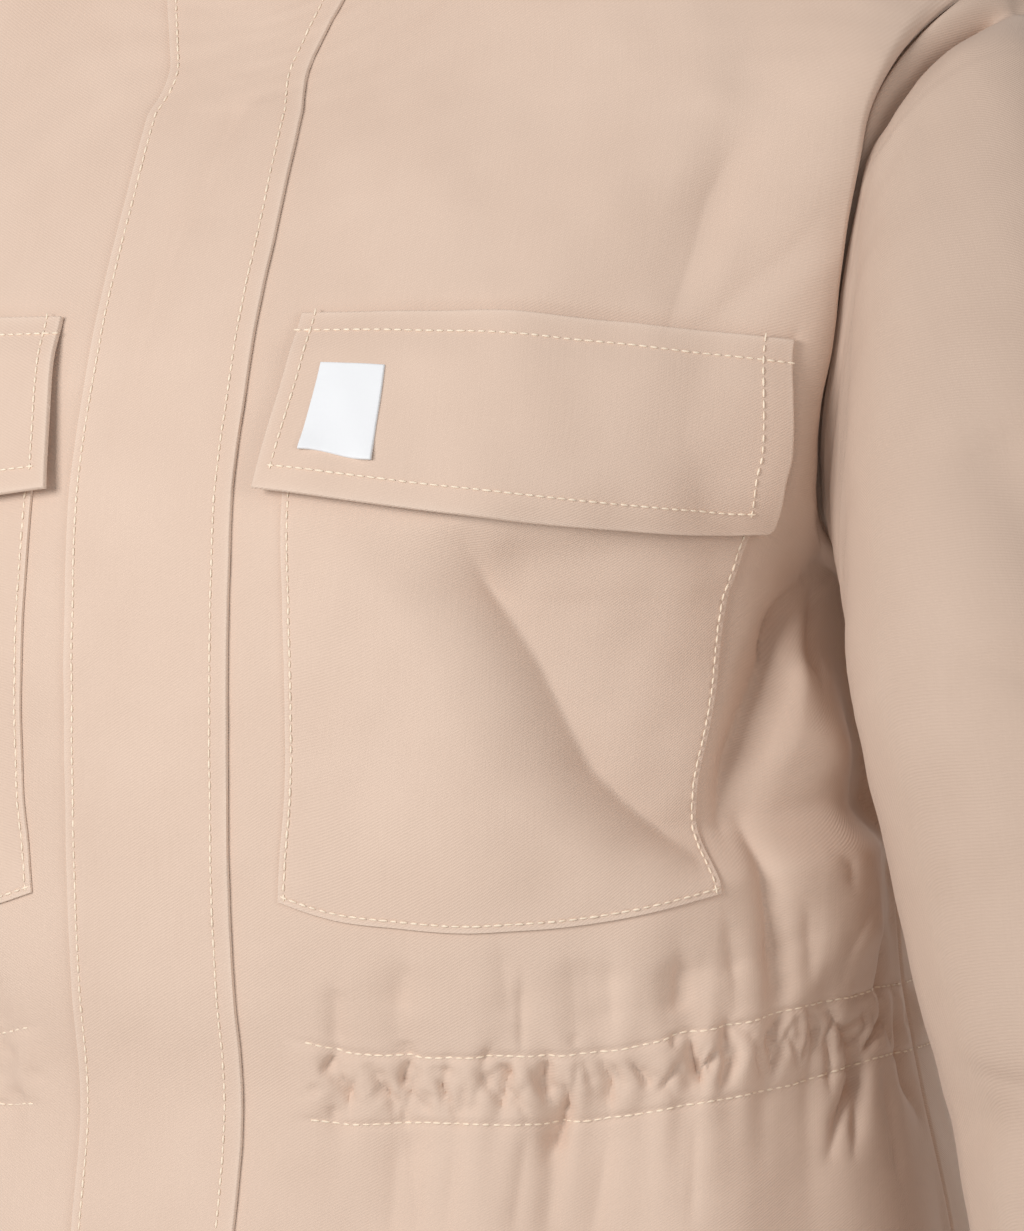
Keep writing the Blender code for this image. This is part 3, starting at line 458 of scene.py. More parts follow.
def gather_depth(gathers, a, z):
    """Depth of the waist gathers, deepest in the channel."""
    total = np.zeros_like(a)
    for gather in gathers:
        middle = gather_middle(gather, z)
        reach = np.where(z > CHANNEL_Z, gather.above, gather.below) * GATHER_REACH
        fade = np.exp(-((z - CHANNEL_Z) / reach) ** 2)
        total = total + GATHER_DEPTH * gather.depth * fade * np.exp(-((a - middle) / gather.half) ** 2)
    return total


print("deepest gather at the waist, mm:",
      round(1000 * float(gather_depth(FRONT_GATHERS, np.linspace(0, 0.26, 500), CHANNEL_Z).max()), 1))

# %% [markdown]
# ## The body's folded surface
# Each place on the cloth is moved in by its folds. Beside the armhole the front swells into a soft
# lip, behind which the sleeve sets back. The lip is sharp at the shoulder and broad at the underarm.
# Folds could be bumps in the material, but then the coat's outline would stay smooth.

# %% Body surface
LIP_HEIGHT = 0.010
LIP_CREST = 0.0065  # from the seam in to the lip's highest line
LIP_CREST_LOW = 0.0150  # the same towards the underarm
LIP_REACH = 0.042
LIP_LEAN = 0.0015
LIP_FADE = 0.035  # how far above the underarm the lip is whole
LIP_LOW_Z = -0.205  # where its highest line starts to move in
LIP_LOW_FADE = 0.045
LIP_TOP_V = 1.75
LIP_TOP_FADE = 0.6
LIP_BACK = 0.5  # the back's lip, as a share of the front's
CALM_SIDE = 0.030  # no folds nearer than this to the side seam
CALM_CENTRE = 0.012
SMALL_STEP = 0.002  # in u and v, for the cloth's directions


def body_point(face, u, v):
    """A point on the body's outside, with its broad folds and its gathers."""
    u = np.asarray(u, float)
    v = np.broadcast_to(np.asarray(v, float), u.shape)
    here = plain_point(face, u, v)
    across = unit(plain_point(face, np.minimum(u + SMALL_STEP, 1), v)
                  - plain_point(face, np.maximum(u - SMALL_STEP, 0), v))
    up = (plain_point(face, u, np.minimum(v + SMALL_STEP, 2))
          - plain_point(face, u, np.maximum(v - SMALL_STEP, 0)))
    out = unit(np.cross(across, up)) * (1.0 if face == "front" else -1.0)
    row = row_z(v)
    z = row + np.clip(v - 1, 0, 1) * YOKE_SHORT
    length = row_length(face, row)
    a = u * length
    folds, gathers = (FRONT_FOLDS, FRONT_GATHERS) if face == "front" else (BACK_FOLDS, BACK_GATHERS)
    from_side = length - a
    from_centre = a if face == "back" else a - PLACKET_HALF
    keep = ease(from_side / CALM_SIDE) * ease(from_centre / CALM_CENTRE)
    keep = np.where(v > 1, keep * ease((2.0 - v) / 0.5), keep)
    depth = (fold_depth(folds, a, z) + gather_depth(gathers, a, z)) * keep
    lip = ease((row - UNDERARM_Z) / LIP_FADE) * ease((LIP_TOP_V - v) / LIP_TOP_FADE)
    lip = lip * (1.0 if face == "front" else LIP_BACK)
    crest = LIP_CREST + (LIP_CREST_LOW - LIP_CREST) * ease((LIP_LOW_Z - row) / LIP_LOW_FADE)
    bump = np.where(from_side < crest,
                    np.sin(np.clip(from_side / crest, 0, 1) * math.pi / 2),
                    np.cos(np.clip((from_side - crest) / LIP_REACH, 0, 1) * math.pi / 2) ** 2)
    lift = lip * bump * LIP_HEIGHT
    lean = lip * bump * LIP_LEAN
    return here + out * (lift - depth)[..., None] + across * lean[..., None]


def body_frame(face, u, v):
    """A point of the body and the way out of the cloth there."""
    small = SMALL_STEP * 1.5
    across = body_point(face, np.minimum(u + small, 1), v) - body_point(face, np.maximum(u - small, 0), v)
    up = body_point(face, u, np.minimum(v + small, 2)) - body_point(face, u, np.maximum(v - small, 0))
    out = unit(np.cross(across, up))
    return body_point(face, u, v), out if face == "front" else -out


print("chest, at the middle of the pocket:", body_point("front", np.array([0.45]), row_z_to_v(-0.31))[0])


# %% [markdown]
# ## Small creases
# A crease is narrower than a fold, sharp at its bottom, and runs out at both ends. Noise would give
# creases of one kind everywhere. These were placed one by one, each where the photograph shows one: they
# fan out between the two rows of the waist channel and run down beside the sleeve. A path is a short
# list of places, in tenths of a millimetre round from the centre front and down from the shoulder.

# %% Creases listed one by one
Crease = namedtuple("Crease", "path width depth")
TENTHS = 10000  # tenths of a millimetre in a metre


def crease_rows(rows):
    """Creases from rows of width, depth and the path's places, each round and then down."""
    made = []
    for width, depth, *path in rows:
        places = tuple((a / TENTHS, -down / TENTHS) for a, down in zip(path[0::2], path[1::2]))
        made.append(Crease(places, width / TENTHS, depth / TENTHS))
    return tuple(made)


LEFT_CREASES = crease_rows((
    (50, 44, 2595, 2905, 2565, 3015, 2525, 3145, 2500, 3270),
    (42, 56, 2520, 2880, 2430, 2960, 2340, 3060, 2260, 3180, 2190, 3320, 2130, 3460, 2070, 3620, 2045, 3780),
    (40, 64, 2115, 3770, 2135, 3920, 2155, 4160, 2170, 4420),
    (22, 15, 2380, 3955, 2430, 4000, 2435, 4105),
    (40, 30, 2745, 4060, 2685, 4375, 2705, 4525),
    (30, 13, 2545, 4135, 2480, 4280, 2430, 4410),
    (35, 18, 1805, 4175, 1820, 4295, 1840, 4425),
    (30, 15, 1980, 4115, 2000, 4280, 2015, 4370),
    (50, 37, 2880, 3960, 2905, 4185, 2905, 4445),
    (35, 13, 2270, 4115, 2290, 4320, 2305, 4460),
    (40, 24, 650, 4255, 630, 4500),
    (15, 30, 630, 4505, 575, 4570),
    (20, 14, 730, 4515, 760, 4565, 810, 4575),
    (16, 37, 885, 4510, 855, 4575, 840, 4625),
    (25, 16, 870, 4455, 875, 4510),
    (16, 12, 950, 4520, 970, 4545, 1040, 4560),
    (26, 18, 750, 4610, 785, 4645),
    (22, 16, 560, 4645, 535, 4600),
    (16, 22, 810, 4630, 845, 4685, 845, 4730),
    (24, 18, 945, 4610, 920, 4695),
    (20, 18, 605, 4670, 610, 4725),
    (20, 12, 1050, 4655, 1090, 4685),
    (18, 20, 1165, 4465, 1120, 4545),
    (15, 27, 1185, 4520, 1220, 4580),
    (16, 20, 1170, 4545, 1125, 4615),
    (24, 20, 1285, 4215, 1265, 4470, 1255, 4505),
    (17, 40, 1345, 4500, 1330, 4590, 1340, 4640),
    (20, 16, 1275, 4585, 1205, 4675),
    (24, 55, 1400, 4640, 1385, 4705, 1360, 4805),
    (20, 20, 1465, 4505, 1490, 4610),
    (20, 20, 1560, 4560, 1530, 4675),
    (34, 14, 1575, 4190, 1575, 4430),
    (45, 16, 1220, 4120, 1230, 4400),
    (24, 12, 1455, 4430, 1430, 4475),
    (50, 18, 895, 4175, 860, 4365),
    (50, 32, 1835, 4225, 1805, 4445),
    (14, 22, 1800, 4490, 1765, 4520),
    (17, 37, 1840, 4500, 1835, 4580, 1865, 4685),
    (15, 25, 1795, 4585, 1710, 4665),
    (16, 27, 1930, 4580, 1885, 4645),
    (16, 37, 1975, 4495, 1970, 4550, 1965, 4625),
    (15, 27, 2005, 4615, 1945, 4705),
    (20, 16, 1995, 4510, 2085, 4585),
    (24, 20, 2075, 4615, 2145, 4720),
    (45, 36, 2175, 4215, 2185, 4380, 2190, 4535),
    (16, 37, 2210, 4535, 2160, 4605, 2190, 4645),
    (16, 22, 2215, 4645, 2190, 4685),
    (22, 18, 2255, 4550, 2285, 4670),
    (16, 30, 2415, 4655, 2430, 4760, 2435, 4830),
    (16, 30, 2380, 4560, 2435, 4630, 2535, 4710),
    (16, 30, 2585, 4605, 2605, 4680, 2585, 4710, 2520, 4720),
    (26, 50, 2495, 4710, 2555, 4765, 2570, 4830, 2470, 4925, 2435, 5000),
    (22, 30, 2565, 4780, 2575, 4890, 2535, 5025),
    (40, 44, 2760, 4360, 2700, 4635),
    (18, 45, 2735, 4640, 2705, 4685, 2625, 4745, 2585, 4770),
    (26, 45, 2810, 4605, 2820, 4750, 2860, 4875, 2955, 4975),
    (18, 22, 2915, 4655, 2895, 4735),
    (14, 16, 450, 2042, 1000, 2042, 1600, 2036, 2090, 2036),
    (14, 14, 2092, 2045, 2100, 2250, 2122, 2500, 2138, 2720),
))
CREASE_REACH = 4  # half widths from its line at which a crease is gone
CREASE_END = 0.3  # share of its length over which it runs out
CREASE_ROUND = 0.3  # how round its bottom is, in half widths

print("creases placed by hand:", len(LEFT_CREASES))


# %% Depth of creases
def crease_depth(creases, a, z):
    """Depth of the creases: narrow at the bottom, running out at both ends."""
    total = np.zeros_like(a)
    for crease in creases:
        path = np.array(crease.path)
        reach = crease.width * CREASE_REACH
        near = ((a > path[:, 0].min() - reach) & (a < path[:, 0].max() + reach)
                & (z > path[:, 1].min() - reach) & (z < path[:, 1].max() + reach))
        if not near.any():
            continue
        here = np.stack([a[near], z[near]], axis=-1)
        steps = np.diff(path, axis=0)
        runs = np.hypot(steps[:, 0], steps[:, 1])
        before = np.concatenate([[0.0], np.cumsum(runs)])
        nearest = np.full(len(here), np.inf)
        along = np.zeros(len(here))
        for k, step in enumerate(steps):
            t = np.clip((here - path[k]) @ step / runs[k] ** 2, 0, 1)
            off = np.linalg.norm(here - path[k] - t[:, None] * step, axis=-1)
            along = np.where(off < nearest, (before[k] + t * runs[k]) / before[-1], along)
            nearest = np.minimum(nearest, off)
        fade = 0.3 + 0.7 * ease(np.minimum(along, 1 - along) / CREASE_END)
        off = np.sqrt((nearest / crease.width) ** 2 + CREASE_ROUND**2)
        total[near] += crease.depth * fade * np.exp(CREASE_ROUND - off)
    return total


trial = crease_depth(LEFT_CREASES, np.array([0.2170]), np.array([-0.4420]))
print("depth at the end of one crease, mm:", round(1000 * float(trial[0]), 2))

# %% [markdown]
# ## Steps
# Where the pocket's cloth is pushed in, it slopes down to a line and then stays low, while a crease
# would rise again at once. So a step is a form of its own: a path, the width of its slope, how far
# the low side reaches, its depth, and how slowly it starts at its lower end.

# %% Steps in the pocket, the chest and the side
Step = namedtuple("Step", "path slope beyond depth fade")
POCKET_STEPS = (
    Step(((0.108, -0.279), (0.115, -0.29), (0.1265, -0.307), (0.135, -0.32), (0.144, -0.338),
          (0.1530, -0.3550), (0.1640, -0.3660), (0.1770, -0.3770), (0.1900, -0.3880)),
         0.030, 0.220, 0.0150, 0.012),
)
CHEST_STEPS = (
    Step(((0.169, -0.208), (0.174, -0.179), (0.176, -0.162), (0.183, -0.142)),
         0.014, 0.014, 0.0020, 0.020),
    Step(((0.176, -0.208), (0.195, -0.186), (0.204, -0.176), (0.213, -0.16)),
         0.014, 0.014, 0.0016, 0.020),
)
SIDE_STEPS = (
    Step(((0.252, -0.288), (0.243, -0.296), (0.234, -0.306), (0.226, -0.318), (0.219, -0.332),
          (0.2130, -0.3460), (0.2070, -0.3620), (0.2030, -0.3860)), 0.012, 0.016, 0.0056, 0.040),
)
STEP_FOOT = 0.012  # how far a step starts below its line's lower end
STEP_HEAD = 0.008  # how far it ends above the upper end
STEP_HEAD_FADE = 0.026
STEP_SPREAD = 0.35  # both grow so much for each metre past the line
STEP_SPREAD_FADE = 0.6


def step_depth(steps, a, z):
    """Depth of the steps: it grows towards the line from its left, then fades to its right."""
    total = np.zeros_like(a)
    for step in steps:
        path = np.array(step.path)
        order = np.argsort(path[:, 1])
        line = np.interp(z, path[order, 1], path[order, 0])
        lean = np.gradient(path[order, 0], path[order, 1]).mean()
        off = (a - line) / math.hypot(1.0, lean)
        low, high = path[:, 1].min(), path[:, 1].max()
        past = np.maximum(off, 0)
        head = high + STEP_HEAD + STEP_SPREAD * past
        ends = ease((z - low + STEP_FOOT) / (STEP_FOOT + step.fade))
        ends = ends * ease((head - z) / (STEP_HEAD_FADE + STEP_SPREAD_FADE * past))
        left = np.clip(1 + off / step.slope, 0, 1) ** 2
        right = 1 - ease(off / step.beyond)
        total = total + step.depth * ends * np.where(off < 0, left, right)
    return total


trial = step_depth(POCKET_STEPS, np.array([0.150]), np.array([-0.350]))
print("pocket's step half way down, mm:", round(1000 * float(trial[0]), 2))


# %% [markdown]
# ## Creases that the eye can't place
# The far sides of the coat don't show, and the channel has more creases than a hand would place. A
# random generator with a fixed seed gives the same ones on each run. The right front gets the left
# one's creases, moved and changed a little.

# %% Creases made by rule
def shifted(creases, seed):
    """The same kind of creases for a side that the photograph hides, moved and changed a little."""
    dice = np.random.default_rng(seed)
    moved = []
    for crease in creases:
        step = dice.uniform(-0.006, 0.006)
        grow = dice.uniform(0.6, 1.2)
        moved.append(Crease(tuple((a + step, z) for a, z in crease.path), crease.width, crease.depth * grow))
    return tuple(moved)


def channel_creases(seed, start, end, drop):
    """Creases fanning out between the two rows of the waist channel, which drops towards the side."""
    dice = np.random.default_rng(seed)
    made = []
    a = start
    while a < end:
        lean = dice.choice([-1, 1]) * dice.uniform(0.002, 0.010)
        middle_z = CHANNEL_Z - drop * ease((a - 0.19) / 0.08)
        top = middle_z + dice.uniform(0.003, 0.012)
        low = middle_z - dice.uniform(0.001, 0.011)
        middle = (a + lean * 0.5 + dice.uniform(-0.002, 0.002), (top + low) / 2)
        made.append(Crease(((a, top), middle, (a + lean, low)), dice.uniform(0.0009, 0.0015),
                           dice.uniform(0.0012, 0.0024)))
        if dice.random() < 0.2:
            made.append(Crease(((a, top + 0.004), (a + dice.uniform(-0.003, 0.003), top + 0.036)),
                               0.006, 0.0016))
        if dice.random() < 0.3:
            foot = (a + lean + dice.uniform(-0.008, 0.008), low - 0.04)
            made.append(Crease(((a + lean, low - 0.002), foot), 0.004, 0.0018))
        a += dice.uniform(0.003, 0.008)
    return tuple(made)


# Soft troughs that run through the placket and the fronts below it, with a counted from the centre
PLACKET_FOLDS = (
    Crease(((0.0135, -0.095), (0.0115, -0.110), (0.0015, -0.144), (-0.0040, -0.170), (-0.0105, -0.190),
            (-0.0150, -0.230), (-0.0160, -0.260)), 0.0075, 0.0024),
    Crease(((-0.022, -0.300), (-0.018, -0.420)), 0.0060, 0.0006),
    Crease(((0.012, -0.520), (0.002, -0.640)), 0.0080, 0.0010),
)
MIRRORED_FOLDS = tuple(Crease(tuple((-a, z) for a, z in fold.path), fold.width, fold.depth)
                       for fold in PLACKET_FOLDS)
FILL_CREASES = channel_creases(7, 0.058, 0.275, 0.008)
RIGHT_CREASES = shifted(LEFT_CREASES + FILL_CREASES, 5) + MIRRORED_FOLDS
BACK_CREASES = channel_creases(9, 0.006, 0.235, 0.005)
BACK_RIGHT_CREASES = channel_creases(23, 0.006, 0.235, 0.005)
LEFT_CREASES = LEFT_CREASES + FILL_CREASES + PLACKET_FOLDS
print("creases on the left front:", len(LEFT_CREASES), "and on half the back:", len(BACK_CREASES))

# %% [markdown]
# ## Cloth is never flat
# Between its folds a worn cloth still swells and sinks by a fraction of a millimetre. A few crossed
# sine waves of unlike lengths give that without any pattern that repeats, and they come out the
# same each time.

# %% Soft waves and the waist channel
def soft_waves(x, y, size, seed):
    """Smooth uneven waves, mostly between -1 and 1."""
    dice = np.random.default_rng(seed)
    total = np.zeros(np.broadcast(x, y).shape)
    waves = 7
    for _ in range(waves):
        turn = dice.uniform(0, 2 * math.pi)
        length = size * dice.uniform(0.65, 1.5)
        start = dice.uniform(0, 2 * math.pi)
        total = total + np.sin((x * math.cos(turn) + y * math.sin(turn)) * 2 * math.pi / length + start)
    return total / waves ** 0.5 / 1.3


# The two stitched rows of the channel, as heights at places round from the centre front
CHANNEL_START = 0.044  # nearer to the centre front there is no channel
CHANNEL_A = (0.000, 0.046, 0.056, 0.066, 0.092, 0.123, 0.155, 0.182, 0.204, 0.227, 0.256, 0.290)
CHANNEL_TOP = (-0.4450, -0.4450, -0.4470, -0.4500, -0.4510, -0.4500, -0.4500, -0.4490, -0.4520,
               -0.4540, -0.4575, -0.4580)
CHANNEL_LOW = (-0.4720, -0.4720, -0.4725, -0.4735, -0.4720, -0.4720, -0.4710, -0.4720, -0.4750,
               -0.4780, -0.4790, -0.4800)
BACK_TOP = CHANNEL_Z + CHANNEL_WIDTH / 2
BACK_LOW = CHANNEL_Z - CHANNEL_WIDTH / 2


def channel_rows(face, a):
    """Heights of the channel's two rows of stitches."""
    if face == "back":
        side = ease((a - 0.16) / 0.08)
        return BACK_TOP + (CHANNEL_TOP[-1] - BACK_TOP) * side, BACK_LOW + (CHANNEL_LOW[-1] - BACK_LOW) * side
    return np.interp(a, CHANNEL_A, CHANNEL_TOP), np.interp(a, CHANNEL_A, CHANNEL_LOW)


WAVE_HEIGHT = 0.0007  # broad waves of the cloth, and their length
WAVE_LENGTH = 0.075
RIPPLE_HEIGHT = 0.00022  # and small ones
RIPPLE_LENGTH = 0.021
PUFF_HEIGHT = 0.0019  # how far the channel swells between its rows
PUFF_LENGTH = 0.012
ROW_PULL = 0.0007  # how deep its two rows lie
ROW_REACH = 0.0012  # half width of the groove along a row of stitches


def groove(off, at, depth):
    """The groove along a row of stitches that runs at a distance from an edge."""
    return depth * np.exp(-((off - at) / ROW_REACH) ** 2)


def cloth_detail(face, a, z, creases, seed):
    """How far the cloth stands out from the folded body: waves, channel and creases."""
    waves = (WAVE_HEIGHT * soft_waves(a, z * 0.7, WAVE_LENGTH, seed)
             + RIPPLE_HEIGHT * soft_waves(a, z, RIPPLE_LENGTH, seed + 1))
    top, low = channel_rows(face, a)
    between = np.clip((z - low) / (top - low), 0, 1)
    uneven = 0.9 + 0.2 * soft_waves(a, z * 0.4, PUFF_LENGTH, seed + 2)
    puff = PUFF_HEIGHT * np.sin(between * math.pi) ** 0.7 * uneven
    rows = groove(z, top, ROW_PULL) + groove(z, low, ROW_PULL)
    inside = ease((a - CHANNEL_START) / 0.012) if face == "front" else 1.0
    steps = POCKET_STEPS + CHEST_STEPS + SIDE_STEPS if face == "front" else ()
    return waves + (puff - rows) * inside - crease_depth(creases, a, z) - step_depth(steps, a, z)


def near_least(depth, reach):
    """The lowest value among each place's neighbours, for an inner skin that stays inside."""
    least = depth.copy()
    for axis in (0, 1):
        base = least.copy()
        for step in range(1, reach + 1):
            for way in (-step, step):
                moved = np.roll(base, way, axis=axis)
                least = np.minimum(least, moved)
    return least


print("channel's width at the front, mm:", round(1000 * (CHANNEL_TOP[4] - CHANNEL_LOW[4]), 1))

# %% [markdown]
# ## From points to cloth
# A piece of cloth is a thin closed shell: an outer skin with all its detail, an inner skin with
# fewer points, and a rim that joins them. Each skin is a grid, so the weave can be laid on it in
# real metres through a UV map. Points crowd together near an edge, because that is where the cloth
# turns.

# %% Shell tools
def spaced(length, step, ends=(True, True)):
    """Places from 0 to 1 along a length, a step apart and closer together at its ends."""
    fine = [0.0, 0.0002, 0.0005, 0.0009, 0.0014, 0.0021, 0.0030, 0.0041]
    first = fine if ends[0] else [0.0]
    last = [length - x for x in fine[::-1]] if ends[1] else [length]
    count = max(int(round((last[0] - first[-1]) / step)), 1)
    middle = np.linspace(first[-1], last[0], count + 1)[1:-1]
    return np.array(first + list(middle) + last) / length


def thinned(count, step):
    """Every step-th place of a row, and its last."""
    kept = list(range(0, count - 1, step))
    if count - 1 - kept[-1] < step / 2:
        kept.pop()
    return kept + [count - 1]


def metric_uv(points):
    """Lengths along the rows and columns of a grid, in metres."""
    across = np.linalg.norm(np.diff(points, axis=1), axis=-1).cumsum(axis=1)
    along = np.linalg.norm(np.diff(points, axis=0), axis=-1).cumsum(axis=0)
    across = np.concatenate([np.zeros((points.shape[0], 1)), across], axis=1)
    along = np.concatenate([np.zeros((1, points.shape[1])), along], axis=0)
    across = across - across[:, -1:] / 2
    return np.stack([across, along], axis=-1)


def strip_faces(low, high, low_marks, high_marks):
    """Triangles between two rows of points whose marks run from 0 to 1, also of unlike counts."""
    faces = []
    i = 0
    j = 0
    while i < len(low) - 1 or j < len(high) - 1:
        step_low = j == len(high) - 1 or (i < len(low) - 1 and low_marks[i + 1] <= high_marks[j + 1])
        if step_low:
            faces.append((low[i], low[i + 1], high[j]))
            i += 1
        else:
            faces.append((low[i], high[j + 1], high[j]))
            j += 1
    return faces


def quads(ids):
    return np.stack([ids[:-1, :-1], ids[:-1, 1:], ids[1:, 1:], ids[1:, :-1]], axis=-1).reshape(-1, 4).tolist()


def rubbed(off, reach=0.0012):
    """How much the cloth has rubbed at a distance from its edge."""
    return np.exp(-off / reach)


def link_up(name, mesh):
    made = bpy.data.objects.new(name, mesh)
    bpy.context.scene.collection.objects.link(made)
    return made


# %% A closed shell from two grids
def shell(name, outer, inner, finish, thin=(2, 2), uv=None, ring=False, wear=None):
    """A closed shell: the outer grid, and within it every thin-th row and column of the inner one."""
    rows = thinned(outer.shape[0], thin[0])
    cols = thinned(outer.shape[1], thin[1])
    uv = metric_uv(inner) if uv is None else uv
    inner = inner[np.ix_(rows, cols)]
    count = outer.shape[0] * outer.shape[1]
    out_ids = np.arange(count).reshape(outer.shape[:2])
    in_ids = count + np.arange(len(rows) * len(cols)).reshape(len(rows), len(cols))
    faces = quads(out_ids) + quads(in_ids[:, ::-1])
    borders = [(out_ids[0], in_ids[0], cols), (out_ids[-1], in_ids[-1], cols)]
    if not ring:
        borders += [(out_ids[:, 0], in_ids[:, 0], rows), (out_ids[:, -1], in_ids[:, -1], rows)]
    for fine, coarse, marks in borders:
        faces += strip_faces(fine.tolist(), coarse.tolist(), list(range(len(fine))), marks)
    mesh = bpy.data.meshes.new(name)
    mesh.from_pydata(np.concatenate([outer.reshape(-1, 3), inner.reshape(-1, 3)]).tolist(), [], faces)
    places = np.concatenate([uv.reshape(-1, 2), uv[np.ix_(rows, cols)].reshape(-1, 2)])
    corner = np.empty(len(mesh.loops), dtype=np.int32)
    mesh.loops.foreach_get("vertex_index", corner)
    mesh.uv_layers.new(name="cloth").data.foreach_set("uv", places[corner].ravel())
    if wear is not None:
        worn = mesh.attributes.new("wear", "FLOAT", "POINT")
        worn.data.foreach_set("value", np.concatenate([wear.ravel(), np.zeros(len(rows) * len(cols))]))
    clean = bmesh.new()
    clean.from_mesh(mesh)
    if ring:
        bmesh.ops.remove_doubles(clean, verts=clean.verts, dist=1e-6)
    bmesh.ops.recalc_face_normals(clean, faces=clean.faces)
    clean.to_mesh(mesh)
    clean.free()
    mesh.shade_smooth()
    mesh.set_sharp_from_angle(angle=math.radians(60))
    mesh.materials.append(finish)
    print(name, "triangles:", sum(len(face) - 2 for face in faces))
    return link_up(name, mesh)


# %% [markdown]
# ## Twill
# The cloth is a cotton twill: each thread passes over two and under one, one step further each
# row, which draws fine ribs across it at a slant. At arm's length the ribs are just visible, as a
# grain in the shadows. Two crossed wave textures make the ribs and the threads across them, and a
# stretched noise makes single threads thicker. The ribs are cut in real metres from the UV map.

# %% Twill weave, a node group
def group_inputs(tree, numbers, vectors=()):
    for name in vectors:
        tree.interface.new_socket(name, in_out="INPUT", socket_type="NodeSocketVector")
    for name, value in numbers:
        socket = tree.interface.new_socket(name, in_out="INPUT", socket_type="NodeSocketFloat")
        socket.default_value = value


def put(tree, kind, **settings):
    """Adds a node and sets what is given: properties by name, inputs by their place as in_0."""
    node = tree.nodes.new(kind)
    for name, value in settings.items():
        if name.startswith("in_"):
            node.inputs[int(name[3:])].default_value = value
        else:
            setattr(node, name, value)
    return node


def maths(tree, operation, first, second):
    """A Math node on two things, each a socket or a number."""
    node = put(tree, "ShaderNodeMath", operation=operation)
    for k, thing in enumerate((first, second)):
        if isinstance(thing, (int, float)):
            node.inputs[k].default_value = thing
        else:
            tree.links.new(thing, node.inputs[k])
    return node.outputs[0]


WAVE_PERIOD = 2 * math.pi / 20  # Blender's wave texture repeats after this at a scale of 1


def twill_group():
    """Ribs, cross threads and slubs from a place in metres."""
    tree = bpy.data.node_groups.new("twill_weave", "ShaderNodeTree")
    group_inputs(tree, (("Rib Width", 0.0009), ("Rib Turn", 1.05), ("Slub", 0.5)), ("Place",))
    tree.interface.new_socket("Height", in_out="OUTPUT", socket_type="NodeSocketFloat")
    tree.interface.new_socket("Tone", in_out="OUTPUT", socket_type="NodeSocketFloat")
    given = put(tree, "NodeGroupInput")
    gives = put(tree, "NodeGroupOutput")
    link = tree.links.new
    turned = put(tree, "ShaderNodeVectorRotate", rotation_type="Z_AXIS")
    link(given.outputs["Place"], turned.inputs["Vector"])
    link(given.outputs["Rib Turn"], turned.inputs["Angle"])
    scale = maths(tree, "DIVIDE", WAVE_PERIOD, given.outputs["Rib Width"])
    ribs = put(tree, "ShaderNodeTexWave", wave_type="BANDS", bands_direction="X", wave_profile="SIN")
    ribs.inputs["Distortion"].default_value = 0.6
    ribs.inputs["Detail"].default_value = 1.0
    ribs.inputs["Detail Scale"].default_value = 0.3
    link(turned.outputs["Vector"], ribs.inputs["Vector"])
    link(scale, ribs.inputs["Scale"])
    floats = put(tree, "ShaderNodeTexWave", wave_type="BANDS", bands_direction="Y", wave_profile="SIN")
    floats.inputs["Distortion"].default_value = 0.4
    link(turned.outputs["Vector"], floats.inputs["Vector"])
    link(maths(tree, "MULTIPLY", scale, 1.7), floats.inputs["Scale"])
    stretch = put(tree, "ShaderNodeVectorMath", operation="MULTIPLY", in_1=(1800.0, 42.0, 1.0))
    link(given.outputs["Place"], stretch.inputs[0])
    slub = put(tree, "ShaderNodeTexNoise", noise_dimensions="2D")
    slub.inputs["Scale"].default_value = 1.0
    slub.inputs["Detail"].default_value = 1.0
    link(stretch.outputs[0], slub.inputs["Vector"])
    over = maths(tree, "ADD", 0.7, maths(tree, "MULTIPLY", floats.outputs["Fac"], 0.3))
    woven = maths(tree, "MULTIPLY", ribs.outputs["Fac"], over)
    uneven = maths(tree, "MULTIPLY", slub.outputs["Fac"], given.outputs["Slub"])
    link(maths(tree, "ADD", woven, uneven), gives.inputs["Height"])
    link(maths(tree, "ADD", maths(tree, "MULTIPLY", woven, 0.6), uneven), gives.inputs["Tone"])
    return tree


TWILL = twill_group()
print("nodes in the weave:", len(TWILL.nodes))

# %% [markdown]
# ## Dye and wear
# No dyed cloth has one colour. It is a little deeper in some places than in others, and it is paler
# where an edge has rubbed. One group gives both: a broad slow noise for the dye, and a mask that
# follows the turned edges, which each piece carries as an attribute made with its mesh.

# %% Dye and wear, a node group
def wear_group():
    """Slow changes of the dye, and how much an edge has rubbed."""
    tree = bpy.data.node_groups.new("dye_and_wear", "ShaderNodeTree")
    group_inputs(tree, (("Cloud Size", 0.05), ("Edge", 0.0)), ("Place",))
    tree.interface.new_socket("Dye", in_out="OUTPUT", socket_type="NodeSocketFloat")
    tree.interface.new_socket("Rub", in_out="OUTPUT", socket_type="NodeSocketFloat")
    given = put(tree, "NodeGroupInput")
    gives = put(tree, "NodeGroupOutput")
    link = tree.links.new
    cloud = put(tree, "ShaderNodeTexNoise", noise_dimensions="3D")
    cloud.inputs["Detail"].default_value = 3.0
    cloud.inputs["Roughness"].default_value = 0.55
    link(given.outputs["Place"], cloud.inputs["Vector"])
    link(maths(tree, "DIVIDE", 1.0, given.outputs["Cloud Size"]), cloud.inputs["Scale"])
    grain = put(tree, "ShaderNodeTexNoise", noise_dimensions="3D")
    grain.inputs["Scale"].default_value = 900.0
    grain.inputs["Detail"].default_value = 1.0
    link(given.outputs["Place"], grain.inputs["Vector"])
    link(cloud.outputs["Fac"], gives.inputs["Dye"])
    rub = maths(tree, "MULTIPLY", given.outputs["Edge"], maths(tree, "ADD", 0.4, grain.outputs["Fac"]))
    link(rub, gives.inputs["Rub"])
    return tree


WEAR = wear_group()
print("nodes in the dye and wear:", len(WEAR.nodes))
